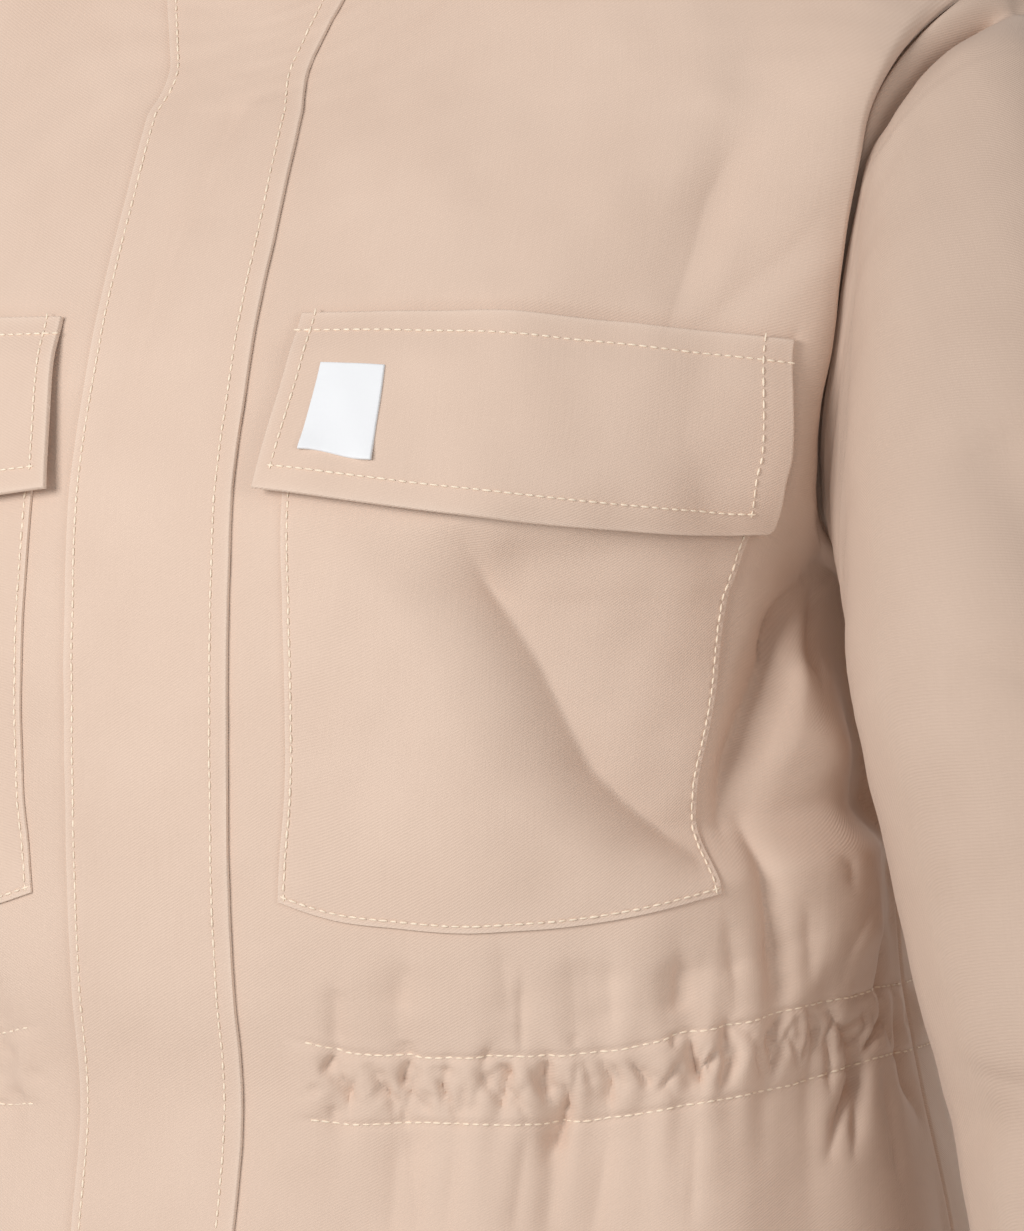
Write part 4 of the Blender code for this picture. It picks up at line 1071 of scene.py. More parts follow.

# %% [markdown]
# ## The finishes
# Matt cotton is nearly a plain diffuse surface: rough, with a faint sheen where the fibres that
# stand up from it catch light from behind. The sleeves are the same twill in a darker colour, which
# is painted shade: it makes them darker than the chest. The label is white and smoother, and the
# thread is paler than the cloth.

# %% Cloth, thread and label materials
def mix_colours(tree, factor, first, second):
    node = put(tree, "ShaderNodeMix", data_type="RGBA")
    sockets = (node.inputs["Factor"], node.inputs[6], node.inputs[7])
    for socket, thing in zip(sockets, (factor, first, second)):
        if isinstance(thing, (tuple, float)):
            socket.default_value = (*thing, 1.0) if isinstance(thing, tuple) else thing
        else:
            tree.links.new(thing, socket)
    return node.outputs[2]


def woven_finish(name, deep, pale, rub_colour, rib_width, rib_turn, slub, bump, rough, sheen):
    """A woven cloth: its colour runs from deep to pale with the dye and the threads."""
    shade = bpy.data.materials.new(name)
    shade.use_nodes = True
    tree = shade.node_tree
    link = tree.links.new
    shader = tree.nodes["Principled BSDF"]
    map_place = put(tree, "ShaderNodeUVMap", uv_map="cloth")
    body_place = put(tree, "ShaderNodeTexCoord")
    edge = put(tree, "ShaderNodeAttribute", attribute_name="wear")
    weave = put(tree, "ShaderNodeGroup", node_tree=TWILL)
    weave.inputs["Rib Width"].default_value = rib_width
    weave.inputs["Rib Turn"].default_value = rib_turn
    weave.inputs["Slub"].default_value = slub
    link(map_place.outputs["UV"], weave.inputs["Place"])
    dye = put(tree, "ShaderNodeGroup", node_tree=WEAR)
    dye.inputs["Cloud Size"].default_value = 0.06
    link(body_place.outputs["Object"], dye.inputs["Place"])
    link(edge.outputs["Fac"], dye.inputs["Edge"])
    tone = maths(tree, "ADD", maths(tree, "MULTIPLY", dye.outputs["Dye"], 0.75),
                 maths(tree, "MULTIPLY", weave.outputs["Tone"], 0.35))
    colour = mix_colours(tree, tone, deep, pale)
    worn = maths(tree, "MULTIPLY", dye.outputs["Rub"], 0.55)
    link(mix_colours(tree, worn, colour, rub_colour), shader.inputs["Base Color"])
    raised = put(tree, "ShaderNodeBump")
    raised.inputs["Strength"].default_value = 0.6
    raised.inputs["Distance"].default_value = bump
    link(weave.outputs["Height"], raised.inputs["Height"])
    link(raised.outputs["Normal"], shader.inputs["Normal"])
    uneven = maths(tree, "MULTIPLY", weave.outputs["Tone"], 0.1)
    link(maths(tree, "ADD", rough - 0.06, uneven), shader.inputs["Roughness"])
    shader.inputs["Sheen Weight"].default_value = sheen
    shader.inputs["Sheen Roughness"].default_value = 0.5
    shader.inputs["Specular IOR Level"].default_value = 0.25
    return shade


WEAVE = {"rib_width": 0.0009, "rib_turn": 1.05, "slub": 0.5, "bump": 0.00012, "rough": 0.84, "sheen": 0.12}
TWILL_CLOTH = woven_finish("beige_twill_cloth", (0.640, 0.476, 0.380), (0.760, 0.591, 0.486),
                           (0.830, 0.683, 0.578), **WEAVE)
# The sleeves' twill: the body's cloth made darker, as painted shade.
SLEEVE_CLOTH_PAINTED_SHADE = woven_finish("beige_twill_sleeve_painted_shade", (0.560, 0.414, 0.328), (0.665, 0.513, 0.420),
                            (0.748, 0.606, 0.507), **WEAVE)
LABEL_CLOTH = woven_finish("white_label_cloth", (0.79, 0.81, 0.845), (0.875, 0.89, 0.92),
                           (0.90, 0.91, 0.93), rib_width=0.00035, rib_turn=0.0, slub=0.2,
                           bump=0.00004, rough=0.62, sheen=0.1)


def thread_finish():
    """Spun cotton thread, pale, with the turn of its plies."""
    shade = bpy.data.materials.new("pale_topstitch_thread")
    shade.use_nodes = True
    tree = shade.node_tree
    shader = tree.nodes["Principled BSDF"]
    place = put(tree, "ShaderNodeTexCoord")
    noise = put(tree, "ShaderNodeTexNoise")
    noise.inputs["Scale"].default_value = 700.0
    tree.links.new(place.outputs["Object"], noise.inputs["Vector"])
    tree.links.new(mix_colours(tree, noise.outputs["Fac"], (0.88, 0.71, 0.55), (0.98, 0.86, 0.71)),
                   shader.inputs["Base Color"])
    raised = put(tree, "ShaderNodeBump")
    raised.inputs["Strength"].default_value = 0.5
    raised.inputs["Distance"].default_value = 0.0001
    tree.links.new(noise.outputs["Fac"], raised.inputs["Height"])
    tree.links.new(raised.outputs["Normal"], shader.inputs["Normal"])
    shader.inputs["Roughness"].default_value = 0.55
    shader.inputs["Sheen Weight"].default_value = 0.15
    return shade


THREAD = thread_finish()
print("finishes:", [shade.name for shade in (TWILL_CLOTH, SLEEVE_CLOTH_PAINTED_SHADE, LABEL_CLOTH, THREAD)])

# %% [markdown]
# ## The two fronts and the back
# A panel's grid follows the cloth: columns run from the centre to the side seam, rows from the hem
# to the shoulder. Rows lie closest where the photograph shows the most, at the chest and at the
# waist channel. Every edge that is sewn to a neighbour dips a little, as a seam does, so the two
# panels meet in a fine groove.

# %% Panels
SEAM_DIP = 0.0010
SEAM_REACH = 0.0018  # how far from a seam the cloth starts to dip
HEM_DIP = 0.0006
HEM_TURN = 0.020
HEM_PULL = 0.0005
ROWS_BELOW = 0.05  # rows lie closest from here under the channel
ROWS_ABOVE = 0.035  # to here over it
HALF_ROW = 0.27  # cloth of a half row, near enough to space its points
OFF_SEAM = 0.00003  # keeps the outermost points off the neighbour's


def panel_rows(step_low, step_channel, step_chest, step_yoke):
    """Heights of a panel's rows, as v from the hem to the neck."""
    tall = CHANNEL_Z - ROWS_BELOW - HEM_Z
    low = HEM_Z + tall * spaced(tall, step_low, (True, False))
    channel = np.arange(low[-1] + step_channel, CHANNEL_Z + ROWS_ABOVE, step_channel)
    chest = np.linspace(channel[-1], YOKE_Z, int((YOKE_Z - channel[-1]) / step_chest) + 1)[1:]
    rows = np.concatenate([low, channel, chest])
    yoke = 1.0 + (SEAM_V - 1.0) * spaced(YOKE_LONG, step_yoke, (False, True))
    return np.concatenate([row_z_to_v(rows), yoke[1:]])


def row_height(v):
    """The nominal height of a row, going on past the yoke."""
    return row_z(v) + np.clip(v - 1.0, 0, 1) * YOKE_LONG


def panel_detail(face, u, v, creases, seed):
    """The detail of a panel, calm at its seams, and its seam dips and hem."""
    row = row_z(v)
    length = row_length(face, row)
    a = u * length
    from_side = length - a
    from_top = np.where(v > 1, (SEAM_V - v) * YOKE_LONG, YOKE_LONG)
    from_hem = row - HEM_Z + np.clip(v - 1, 0, 1)
    calm = ease(from_side / 0.008) * ease(from_top / 0.012) * ease(from_hem / 0.004)
    if face == "back":
        calm = calm * ease(0.5 + a / 0.008)
    detail = cloth_detail(face, a, row_height(v), creases, seed) * calm
    seam = np.minimum(from_side, from_top)
    dip = SEAM_DIP * (1 - ease(seam / SEAM_REACH)) + HEM_DIP * (1 - ease(from_hem / ROW_REACH))
    return detail - dip - groove(from_hem, HEM_TURN, HEM_PULL)


def panel_surface(face, u, v, creases, seed, lift=0.0):
    """The outside of a panel, moved out by lift."""
    here, out = body_frame(face, u, v)
    return here + out * (panel_detail(face, u, v, creases, seed) + lift)[..., None]


PANEL_WALL = 0.0010  # from the lowest of the detail to the inner skin


# %% Half panels
def half_panel(face, side, vs, across, creases, seed):
    """Outer and inner grids of a half panel, and its plain grid for the UV map."""
    us = np.clip(across, OFF_SEAM / HALF_ROW, 1 - OFF_SEAM / HALF_ROW)
    u, v = np.meshgrid(us, vs)
    here, out = body_frame(face, u, v)
    detail = panel_detail(face, u, v, creases, seed)
    outer = here + out * detail[..., None]
    inner = here + out * (near_least(detail, 2) - PANEL_WALL)[..., None]
    return mirrored(outer, side), mirrored(inner, side), mirrored(plain_point(face, u, v), side)


HIDDEN_SHARE = 0.135  # share of a front's width that the placket covers


def front_columns(step):
    """Places across a front: a few under the placket, and close together from its edge on."""
    hidden = np.linspace(0.0, HIDDEN_SHARE, 10)[:-1]
    return np.concatenate([hidden, HIDDEN_SHARE + (1 - HIDDEN_SHARE) * spaced(0.24, step, (False, True))])


def hem_wear(vs, count):
    """How much each point of a panel has rubbed: only its hem has."""
    return rubbed((vs * (YOKE_Z - HEM_Z))[:, None] + np.zeros(count), 0.0015)


def build_front(name, side, row_steps, step, creases, seed):
    vs = panel_rows(*row_steps)
    across = front_columns(step)
    outer, inner, plain = half_panel("front", side, vs, across, creases, seed)
    uv = metric_uv(plain)
    uv[..., 0] = uv[..., 0] - uv[:, :1, 0]
    return shell(name, outer, inner, TWILL_CLOTH, (4, 4), uv, wear=hem_wear(vs, len(across))), plain


def build_back():
    vs = panel_rows(0.0065, 0.0016, 0.0034, 0.0045)
    across = spaced(HALF_ROW, 0.0028, (False, True))
    halves = [half_panel("back", side, vs, across, creases, BACK_SEED)
              for side, creases in ((-1.0, BACK_RIGHT_CREASES), (1.0, BACK_CREASES))]
    grids = []
    for right, left in zip(*halves):
        middle = (right[:, :1] + left[:, :1]) / 2 * np.array([0.0, 1.0, 1.0])
        grids.append(np.concatenate([right[:, :0:-1], middle, left[:, 1:]], axis=1))
    outer, inner, plain = grids
    return shell("back_cloth", outer, inner, TWILL_CLOTH, (3, 3), metric_uv(plain),
                 wear=hem_wear(vs, outer.shape[1])), plain


LEFT_SEED = 3
RIGHT_SEED = 17
BACK_SEED = 31
front_left, front_left_cut = build_front("front_left_cloth", 1.0, (0.006, 0.0011, 0.0023, 0.0034),
                                         0.00098, LEFT_CREASES, LEFT_SEED)
front_right, front_right_cut = build_front("front_right_cloth", -1.0, (0.007, 0.0016, 0.0034, 0.0042),
                                           0.0024, RIGHT_CREASES, RIGHT_SEED)
back, back_cut = build_back()

# %% [markdown]
# ## Pieces sewn on the front
# Placket, pockets and flaps are doubled cloth with their edges turned in. Such an edge is round and
# a little thicker than the middle, and its row of stitches pulls a fine groove beside it. A bevel
# would give the round edge but no groove, so one function gives the whole profile for any distance
# from the edge. The pieces lie on the front's own surface, so its folds run through them.

# %% Turned edges
EDGE_ROUND = 0.0008  # radius of a turned edge
TURN_SHARE = 0.25  # how much thinner a piece is past its turned-in edge
PUCKER_PITCH = 0.0071  # two stitches
STITCH_PULL = 0.00055  # depth and half width of the groove in doubled cloth
STITCH_REACH = 0.0009
PILLOW = 0.00022  # how far the cloth swells between the edge and its row


def rounded(off, radius=EDGE_ROUND):
    """Rises from 0 at an edge to 1 a radius in from it, as a quarter circle does."""
    return np.sqrt(1 - (1 - np.clip(off / radius, 0, 1)) ** 2)


def turned_edge(off, thick, stitch, along):
    """Height of a doubled piece, off metres in from its edge, with a stitch row."""
    drop = TURN_SHARE * ease((off - stitch - 0.001) / 0.003)
    pucker = 0.75 + 0.35 * np.sin(along * 2 * math.pi / PUCKER_PITCH + 2 * np.sin(along * 90.0))
    pull = STITCH_PULL * pucker * np.exp(-((off - stitch) / STITCH_REACH) ** 2)
    pillow = PILLOW * np.exp(-((off - stitch * 0.45) / (stitch * 0.3)) ** 2)
    return thick * rounded(off) * (1 - drop) + pillow - pull


def front_lift(side, a, z, lift, creases, seed):
    """A point lifted off the front, at a place measured on its cloth."""
    u = a / row_length("front", z)
    return mirrored(panel_surface("front", u, row_z_to_v(z), creases, seed, lift), side)


SIDES = {1.0: (LEFT_CREASES, LEFT_SEED), -1.0: (RIGHT_CREASES, RIGHT_SEED)}
print("a flap's edge is", round(1000 * float(turned_edge(0.004, 0.0025, 0.0084, 0.0)), 2), "mm thick")

# %% [markdown]
# ## The placket
# The placket covers the fastening with a long doubled strip. It is sewn down along its edge on the
# wearer's right, and its other edge is free, with the topstitching further in. A bent box would do
# for its outline, but it has to follow both fronts, so it takes its points from them.

# %% Placket
PLACKET_FREE_STITCH = 0.0062
PLACKET_SEWN_STITCH = 0.0034
PLACKET_THICK = 0.0017
PLACKET_SEWN_WIDER = 1.10  # the sewn half is this much wider than the free half
PLACKET_PRESS = 0.95  # share of the fronts' soft troughs that shows in the placket
PLACKET_OFF = 0.0001  # how far past the gap it lies off the fronts
PLACKET_LENGTH = 0.665  # from the hem to the yoke row


def placket_half(share, v):
    """Width from the centre to the placket's edge, as a share of the half row."""
    row = row_z(v)
    over = ease((v - 0.92) / 0.36)
    half = PLACKET_HALF / row_length("front", row) * (1 - over) + PLACKET_SHARE * over
    return half * np.where(share < 0, 1 + (PLACKET_SEWN_WIDER - 1) * (1 - over), 1.0), row


def placket_base(share, v):
    """The front under the placket, its way out, and its soft waves."""
    half, row = placket_half(share, v)
    u = np.abs(share) * half
    here, out = body_frame("front", u, v)
    mirror = np.stack([np.where(share < 0, -1.0, 1.0), np.ones_like(u), np.ones_like(u)], axis=-1)
    width = u * row_length("front", row)
    waves = [cloth_detail("front", width, row_height(v), (), seed) for seed in (RIGHT_SEED, LEFT_SEED)]
    across = width * np.sign(share)
    mixed = waves[0] + (waves[1] - waves[0]) * ease(0.5 + across / 0.016)
    pressed = crease_depth(PLACKET_FOLDS, across, row_height(v))
    return here * mirror, out * mirror, mixed - PLACKET_PRESS * pressed


def placket_surface(share, v, lift=0.0):
    """The placket's outside: share runs from -1 at its sewn edge to 1 at its free edge."""
    here, out, mixed = placket_base(share, v)
    half, row = placket_half(share, v)
    reach = half * row_length("front", row)
    along = row + np.clip(v - 1, 0, 1) * YOKE_SHORT
    from_end = np.minimum((PLACKET_TOP_V - v) * YOKE_SHORT, v * (YOKE_Z - HEM_Z))
    free = turned_edge((1 - share) * reach, PLACKET_THICK, PLACKET_FREE_STITCH, along)
    sewn = turned_edge((1 + share) * reach, PLACKET_THICK, PLACKET_SEWN_STITCH, along + 0.3)
    rise = np.minimum(free, sewn) * rounded(from_end)
    return here + out * (GAP + PLACKET_OFF + rise + mixed + lift)[..., None]


def build_placket():
    low = row_z_to_v(HEM_Z + (YOKE_Z - HEM_Z) * spaced(PLACKET_LENGTH, 0.0026, (True, False)))
    high = 1.0 + (PLACKET_TOP_V - 1.0) * spaced(YOKE_SHORT, 0.0026, (False, True))[1:]
    vs = np.concatenate([low, high])
    shares = spaced(2 * PLACKET_HALF, 0.0013) * 2 - 1
    beside = (-0.0006, 0.0, 0.0006)
    extra = np.array([1 - (PLACKET_FREE_STITCH + d) / PLACKET_HALF for d in beside]
                     + [-1 + (PLACKET_SEWN_STITCH + d) / PLACKET_HALF for d in beside])
    shares = np.unique(np.round(np.concatenate([shares, extra]), 5))
    share, v = np.meshgrid(shares, vs)
    outer = placket_surface(share, v)
    base, out, mixed = placket_base(share, v)
    inner = base + out * (GAP + mixed)[..., None]
    wear = rubbed((1 - np.abs(share)) * PLACKET_HALF)
    return shell("placket_cloth", outer, inner, TWILL_CLOTH, (4, 3), wear=wear), inner


placket, placket_cut = build_placket()

# %% [markdown]
# ## Chest pockets
# A patch pocket is a single piece of cloth with its edges turned under. Its outline is not quite a
# rectangle: worn, the side nearer the arm is drawn in at the bottom. Short tables give the outline
# as distances on the front's cloth, so the pocket takes up every fold of the front by itself.

# %% Pockets
POCKET_Z = (-0.407, -0.2215)
PATCH_STITCH = 0.0024
POCKET_THICK = 0.0012
POCKET_SPAN = (0.160, 0.185)  # width and height, near enough to space its points
POCKET_HEIGHTS = (-0.412, -0.400, -0.384, -0.364, -0.335, -0.303, -0.277, -0.220)
POCKET_INNER = (0.0462, 0.0466, 0.0476, 0.0494, 0.0496, 0.0486, 0.0476, 0.0470)
POCKET_OUTER = (0.1965, 0.1958, 0.1945, 0.1945, 0.2020, 0.2075, 0.2090, 0.2090)
POCKET_PLACES = (0.045, 0.065, 0.088, 0.111, 0.126, 0.161, 0.200)
POCKET_BOTTOM = (-0.3990, -0.4050, -0.4073, -0.4083, -0.4075, -0.4053, -0.4015)


def pocket_place(s, t):
    """Place on the front's cloth: s runs away from the placket, t up from the bottom."""
    across = POCKET_INNER[0] + (POCKET_OUTER[0] - POCKET_INNER[0]) * s
    bottom = through(POCKET_PLACES, POCKET_BOTTOM, across)
    z = bottom + (POCKET_Z[1] - bottom) * t
    inner = through(POCKET_HEIGHTS, POCKET_INNER, z)
    outer = through(POCKET_HEIGHTS, POCKET_OUTER, z)
    return inner + (outer - inner) * s, z, outer - inner, POCKET_Z[1] - bottom


def pocket_surface(side, s, t, lift=0.0):
    a, z, width, height = pocket_place(s, t)
    sides = [turned_edge(off, POCKET_THICK, PATCH_STITCH, along)
             for off, along in ((s * width, z), ((1 - s) * width, z + 0.4), (t * height, a))]
    top = POCKET_THICK * rounded((1 - t) * height)
    rise = np.minimum(np.minimum(sides[0], sides[1]), np.minimum(sides[2], top))
    creases, seed = SIDES[side]
    return front_lift(side, a, z, GAP + rise + lift, creases, seed)


def edge_places(length, step, stitch, rows=(True, True)):
    """Places from 0 to 1 with a few more at the stitch rows."""
    places = list(spaced(length, step))
    beside = (-0.0008, -0.0004, 0.0, 0.0004, 0.0008)
    for near, wanted in enumerate(rows):
        if wanted:
            places += [abs(near - (stitch + d) / length) for d in beside]
    return np.unique(np.round(places, 5))


def build_pocket(name, side, step):
    ss = edge_places(POCKET_SPAN[0], step, PATCH_STITCH)
    ts = edge_places(POCKET_SPAN[1], step, PATCH_STITCH, rows=(True, False))
    s, t = np.meshgrid(ss, ts)
    outer = pocket_surface(side, s, t)
    a, z, width, height = pocket_place(s, t)
    creases, seed = SIDES[side]
    inner = front_lift(side, a, z, np.full_like(a, GAP * 0.8), creases, seed)
    off = np.minimum(np.minimum(s, 1 - s) * width, t * height)
    return shell(name, outer, inner, TWILL_CLOTH, wear=rubbed(off, 0.0011)), inner


pocket_left, pocket_left_cut = build_pocket("pocket_left_cloth", 1.0, 0.0014)
pocket_right, pocket_right_cut = build_pocket("pocket_right_cloth", -1.0, 0.0022)

# %% [markdown]
# ## Flaps
# The flap is doubled and stiff. It is sewn along its top edge, with a row of stitches across, and
# falls free over the pocket, so its lower edge stands off and throws a soft shadow. That is why its
# distance from the front grows towards the bottom, instead of being the same all over.

# %% Flaps
FLAP_Z = (-0.271, -0.205)
FLAP_STAND = 0.0026
FLAP_THICK = 0.0025
FLAP_TOP_STITCH = 0.0074
FLAP_INNER_STITCH = 0.0055
FLAP_OUTER_STITCH = 0.0088
FLAP_LOW_STITCH = 0.0084
FLAP_CORNER = 0.0030  # radius of the lower outer corner
FLAP_CLEAR = 0.0016  # off the front where the pocket lies under it
FLAP_SPAN = (0.173, 0.066)  # width and height, near enough to space its points
FLAP_HEIGHTS = (-0.277, -0.271, -0.250, -0.225, -0.2035)
FLAP_INNER = (0.0360, 0.0372, 0.0405, 0.0440, 0.0455)
FLAP_OUTER = (0.2130, 0.2125, 0.2105, 0.2090, 0.2085)
FLAP_PLACES = (0.037, 0.080, 0.124, 0.160, 0.190, 0.218)
FLAP_BOTTOM = (-0.2642, -0.2690, -0.2738, -0.2760, -0.2768, -0.2752)


def flap_place(s, t):
    across = FLAP_INNER[0] + (FLAP_OUTER[0] - FLAP_INNER[0]) * s
    bottom = through(FLAP_PLACES, FLAP_BOTTOM, across)
    z = bottom + (FLAP_Z[1] - bottom) * t
    inner = through(FLAP_HEIGHTS, FLAP_INNER, z)
    outer = through(FLAP_HEIGHTS, FLAP_OUTER, z)
    cut = np.clip(1 - t * (FLAP_Z[1] - bottom) / FLAP_CORNER, 0, 1)
    outer = outer - FLAP_CORNER * (1 - np.sqrt(1 - cut**2))
    return inner + (outer - inner) * s, z, outer - inner, FLAP_Z[1] - bottom


def flap_stand(s, t):
    """How far the flap's underside is off the front: over the pocket, and free at the bottom."""
    down = 1 - t
    wave = 0.0009 * np.sin(s * 7.3 + 0.4) + 0.0005 * np.sin(s * 17.0 + 1.0)
    return GAP + (GAP + FLAP_CLEAR) * ease(down / 0.27) + (FLAP_STAND + wave) * down ** 1.3


def flap_surface(side, s, t, lift=0.0):
    a, z, width, height = flap_place(s, t)
    edges = ((s * width, FLAP_INNER_STITCH, z), ((1 - s) * width, FLAP_OUTER_STITCH, z + 0.4),
             (t * height, FLAP_LOW_STITCH, a), ((1 - t) * height, FLAP_TOP_STITCH, a + 0.1))
    rises = [turned_edge(off, FLAP_THICK, stitch, along) for off, stitch, along in edges]
    rise = np.minimum(np.minimum(rises[0], rises[1]), np.minimum(rises[2], rises[3]))
    return front_lift(side, a, z, flap_stand(s, t) + rise + lift, (), SIDES[side][1])


def build_flap(name, side, step):
    ss = edge_places(FLAP_SPAN[0], step, FLAP_OUTER_STITCH)
    ts = edge_places(FLAP_SPAN[1], step, FLAP_LOW_STITCH)
    s, t = np.meshgrid(ss, ts)
    outer = flap_surface(side, s, t)
    a, z, width, height = flap_place(s, t)
    inner = front_lift(side, a, z, flap_stand(s, t), (), SIDES[side][1])
    off = np.minimum(np.minimum(s, 1 - s) * width, np.minimum(t, 1 - t) * height)
    return shell(name, outer, inner, TWILL_CLOTH, wear=rubbed(off)), inner


flap_left, flap_left_cut = build_flap("flap_left_cloth", 1.0, 0.0013)
flap_right, flap_right_cut = build_flap("flap_right_cloth", -1.0, 0.0020)

# %% [markdown]
# ## The label
# A small white woven label, folded under at its sides and caught down on the flap. It is bare. It
# could be a coloured patch of the flap's own material, but it has an edge and its lower corners curl
# a little, so it is a thin shell made from the flap's points.

# %% Label
LABEL_S = (0.0760, 0.2100)
LABEL_T = (0.214, 0.704)
LABEL_THICK = 0.0006
LABEL_SPAN = (0.025, 0.031)  # width and height, near enough to space its points
LABEL_ROUND = 0.0004  # radius of its edge
LABEL_CURL = 0.0009


def label_surface(s, t, lift=0.0):
    flap_s = LABEL_S[0] + (LABEL_S[1] - LABEL_S[0]) * (s + (1 - t) * (0.04 + 0.09 * s))
    flap_t = LABEL_T[0] + (LABEL_T[1] - LABEL_T[0]) * t + 0.010 * (1 - t) * np.sin(s * 5.0 + 0.6)
    off = np.minimum(np.minimum(s, 1 - s) * LABEL_SPAN[0], np.minimum(t, 1 - t) * LABEL_SPAN[1])
    rise = LABEL_THICK * rounded(off, LABEL_ROUND)
    curl = LABEL_CURL * (1 - ease(t / 0.25)) * (1 - ease(np.minimum(s, 1 - s) / 0.35))
    wave = 0.00012 * np.sin(s * 9 + 1) * np.sin(t * 7)
    return flap_surface(1.0, flap_s, flap_t, GAP + rise + curl + wave + lift)


def build_label():
    s, t = np.meshgrid(spaced(LABEL_SPAN[0], 0.0012), spaced(LABEL_SPAN[1], 0.0012))
    outer = label_surface(s, t)
    inner = outer - (label_surface(s, t, LABEL_THICK) - outer)
    return shell("label_cloth", outer, inner, LABEL_CLOTH), inner


label, label_cut = build_label()

# %% [markdown]
# ## Sleeves
# A sleeve is a tube that starts at the armhole seam. At the front it sets off behind the edge of
# the chest, which leaves the deep slot of shadow that the photograph shows, and it hangs a little
# forward. A bent cylinder can't meet a curved seam, so the grid runs round the arm and down it, and
# a cubic for each column leads from the seam into a plain tube of oval rings.

# %% Sleeve sizes
Ring = namedtuple("Ring", "z out fore half_width half_depth")
SLEEVE = (
    Ring(-0.33, 0.28, 0.035, 0.066, 0.08),
    Ring(-0.4, 0.296, 0.043, 0.062, 0.074),
    Ring(-0.475, 0.3135, 0.052, 0.058, 0.068),
    Ring(-0.55, 0.325, 0.066, 0.054, 0.062),
    Ring(-0.61, 0.338, 0.082, 0.05, 0.056),
    Ring(-0.65, 0.344, 0.094, 0.049, 0.054),
)

# How the sleeve sets off from the armhole seam, as an angle from the way the panel's cloth leaves
SLEEVE_SET_FRONT = math.radians(98)
SLEEVE_SET_BACK = math.radians(92)
SLEEVE_PUSH = 0.035
SLEEVE_PUSH_LOW = 0.015

# Folds of the sleeve: round it as a share from the underarm, and along it from 0 to 2
SLEEVE_FOLDS = (
    Fold(0.3, 0.75, 0.42, 1.1, 0.05, 0.006),
    Fold(0.16, 1.42, 0.34, 1.5, 0.045, 0.005),
    Fold(0.14, 1.66, 0.3, 1.72, 0.04, 0.004),
    Fold(0.62, 0.8, 0.72, 1.2, 0.05, 0.006),
)
print("rings down the arm:", len(SLEEVE))

# %% Where the sleeve starts
def armhole(share):
    """The armhole seam: share runs from the underarm up the front, over the shoulder, down the back.

    Gives the seam's point, the way the panel's cloth leaves it, and the way out from the body."""
    share = np.asarray(share, float)
    near = np.minimum(share, 1.0 - share) * 2.0
    start = row_z_to_v(UNDERARM_Z)
    v = start + (2.0 - start) * near
    one = np.ones_like(v)
    found = {}
    for face in ("front", "back"):
        edge = plain_point(face, one, v)
        leave = edge - plain_point(face, one * 0.985, v)
        up = plain_point(face, one, np.minimum(v + 0.01, 2)) - plain_point(face, one, v - 0.01)
        out = np.cross(leave, up) * (1.0 if face == "front" else -1.0)
        found[face] = (edge, unit(leave), unit(out))
    ahead = (share <= 0.5)[..., None]
    seam, leave, out = (np.where(ahead, f, b) for f, b in zip(found["front"], found["back"]))
    # At the underarm and at the shoulder tip both panels meet, so their directions are shared.
    low = 1.0 - ease(near / 0.12)[..., None]
    tip = ease((near - 0.86) / 0.14)[..., None]
    leave = leave * (1 - low) + np.array([0.30, 0.0, 0.95]) * low
    leave = leave * (1 - tip) + np.array([0.81, 0.0, -0.59]) * tip
    out = out * (1 - tip) + np.array([0.59, 0.0, 0.81]) * tip
    return seam, unit(leave), unit(out)


def sleeve_start(share):
    """The armhole seam, and which way the sleeve sets off from it."""
    seam, leave, out = armhole(share)
    near = np.minimum(share, 1.0 - share) * 2.0
    angle = np.where(share <= 0.5, SLEEVE_SET_FRONT, SLEEVE_SET_BACK)
    angle = angle + (math.pi / 2 - angle) * (1 - ease(near / 0.2))
    angle = (angle * (1 - ease((near - 0.52) / 0.44)))[..., None]
    return seam, leave * np.cos(angle) + out * np.sin(angle)


print("half way round the armhole:", armhole(np.array([0.5]))[0][0])


# %% The sleeve's tube
def arm_point(share, z):
    """A point of the sleeve's tube at height z of its axis, square across the axis."""
    zs = column(SLEEVE, "z")[::-1]

    def centre(at):
        x = through(zs, column(SLEEVE, "out")[::-1], at)
        y = -through(zs, column(SLEEVE, "fore")[::-1], at)
        return np.stack([x, y, at], axis=-1)

    axis = centre(np.minimum(z + 0.01, zs[-1])) - centre(np.maximum(z - 0.01, zs[0]))
    axis = unit(axis)
    fore = unit(np.array([0.0, -1.0, 0.0]) + axis * axis[..., 1:2])
    out = np.cross(axis, fore)
    turn = share * 2 * math.pi
    wide = (-np.cos(turn) * through(zs, column(SLEEVE, "half_width")[::-1], z))[..., None]
    deep = (np.sin(turn) * through(zs, column(SLEEVE, "half_depth")[::-1], z))[..., None]
    return centre(z) + out * wide + fore * deep, axis


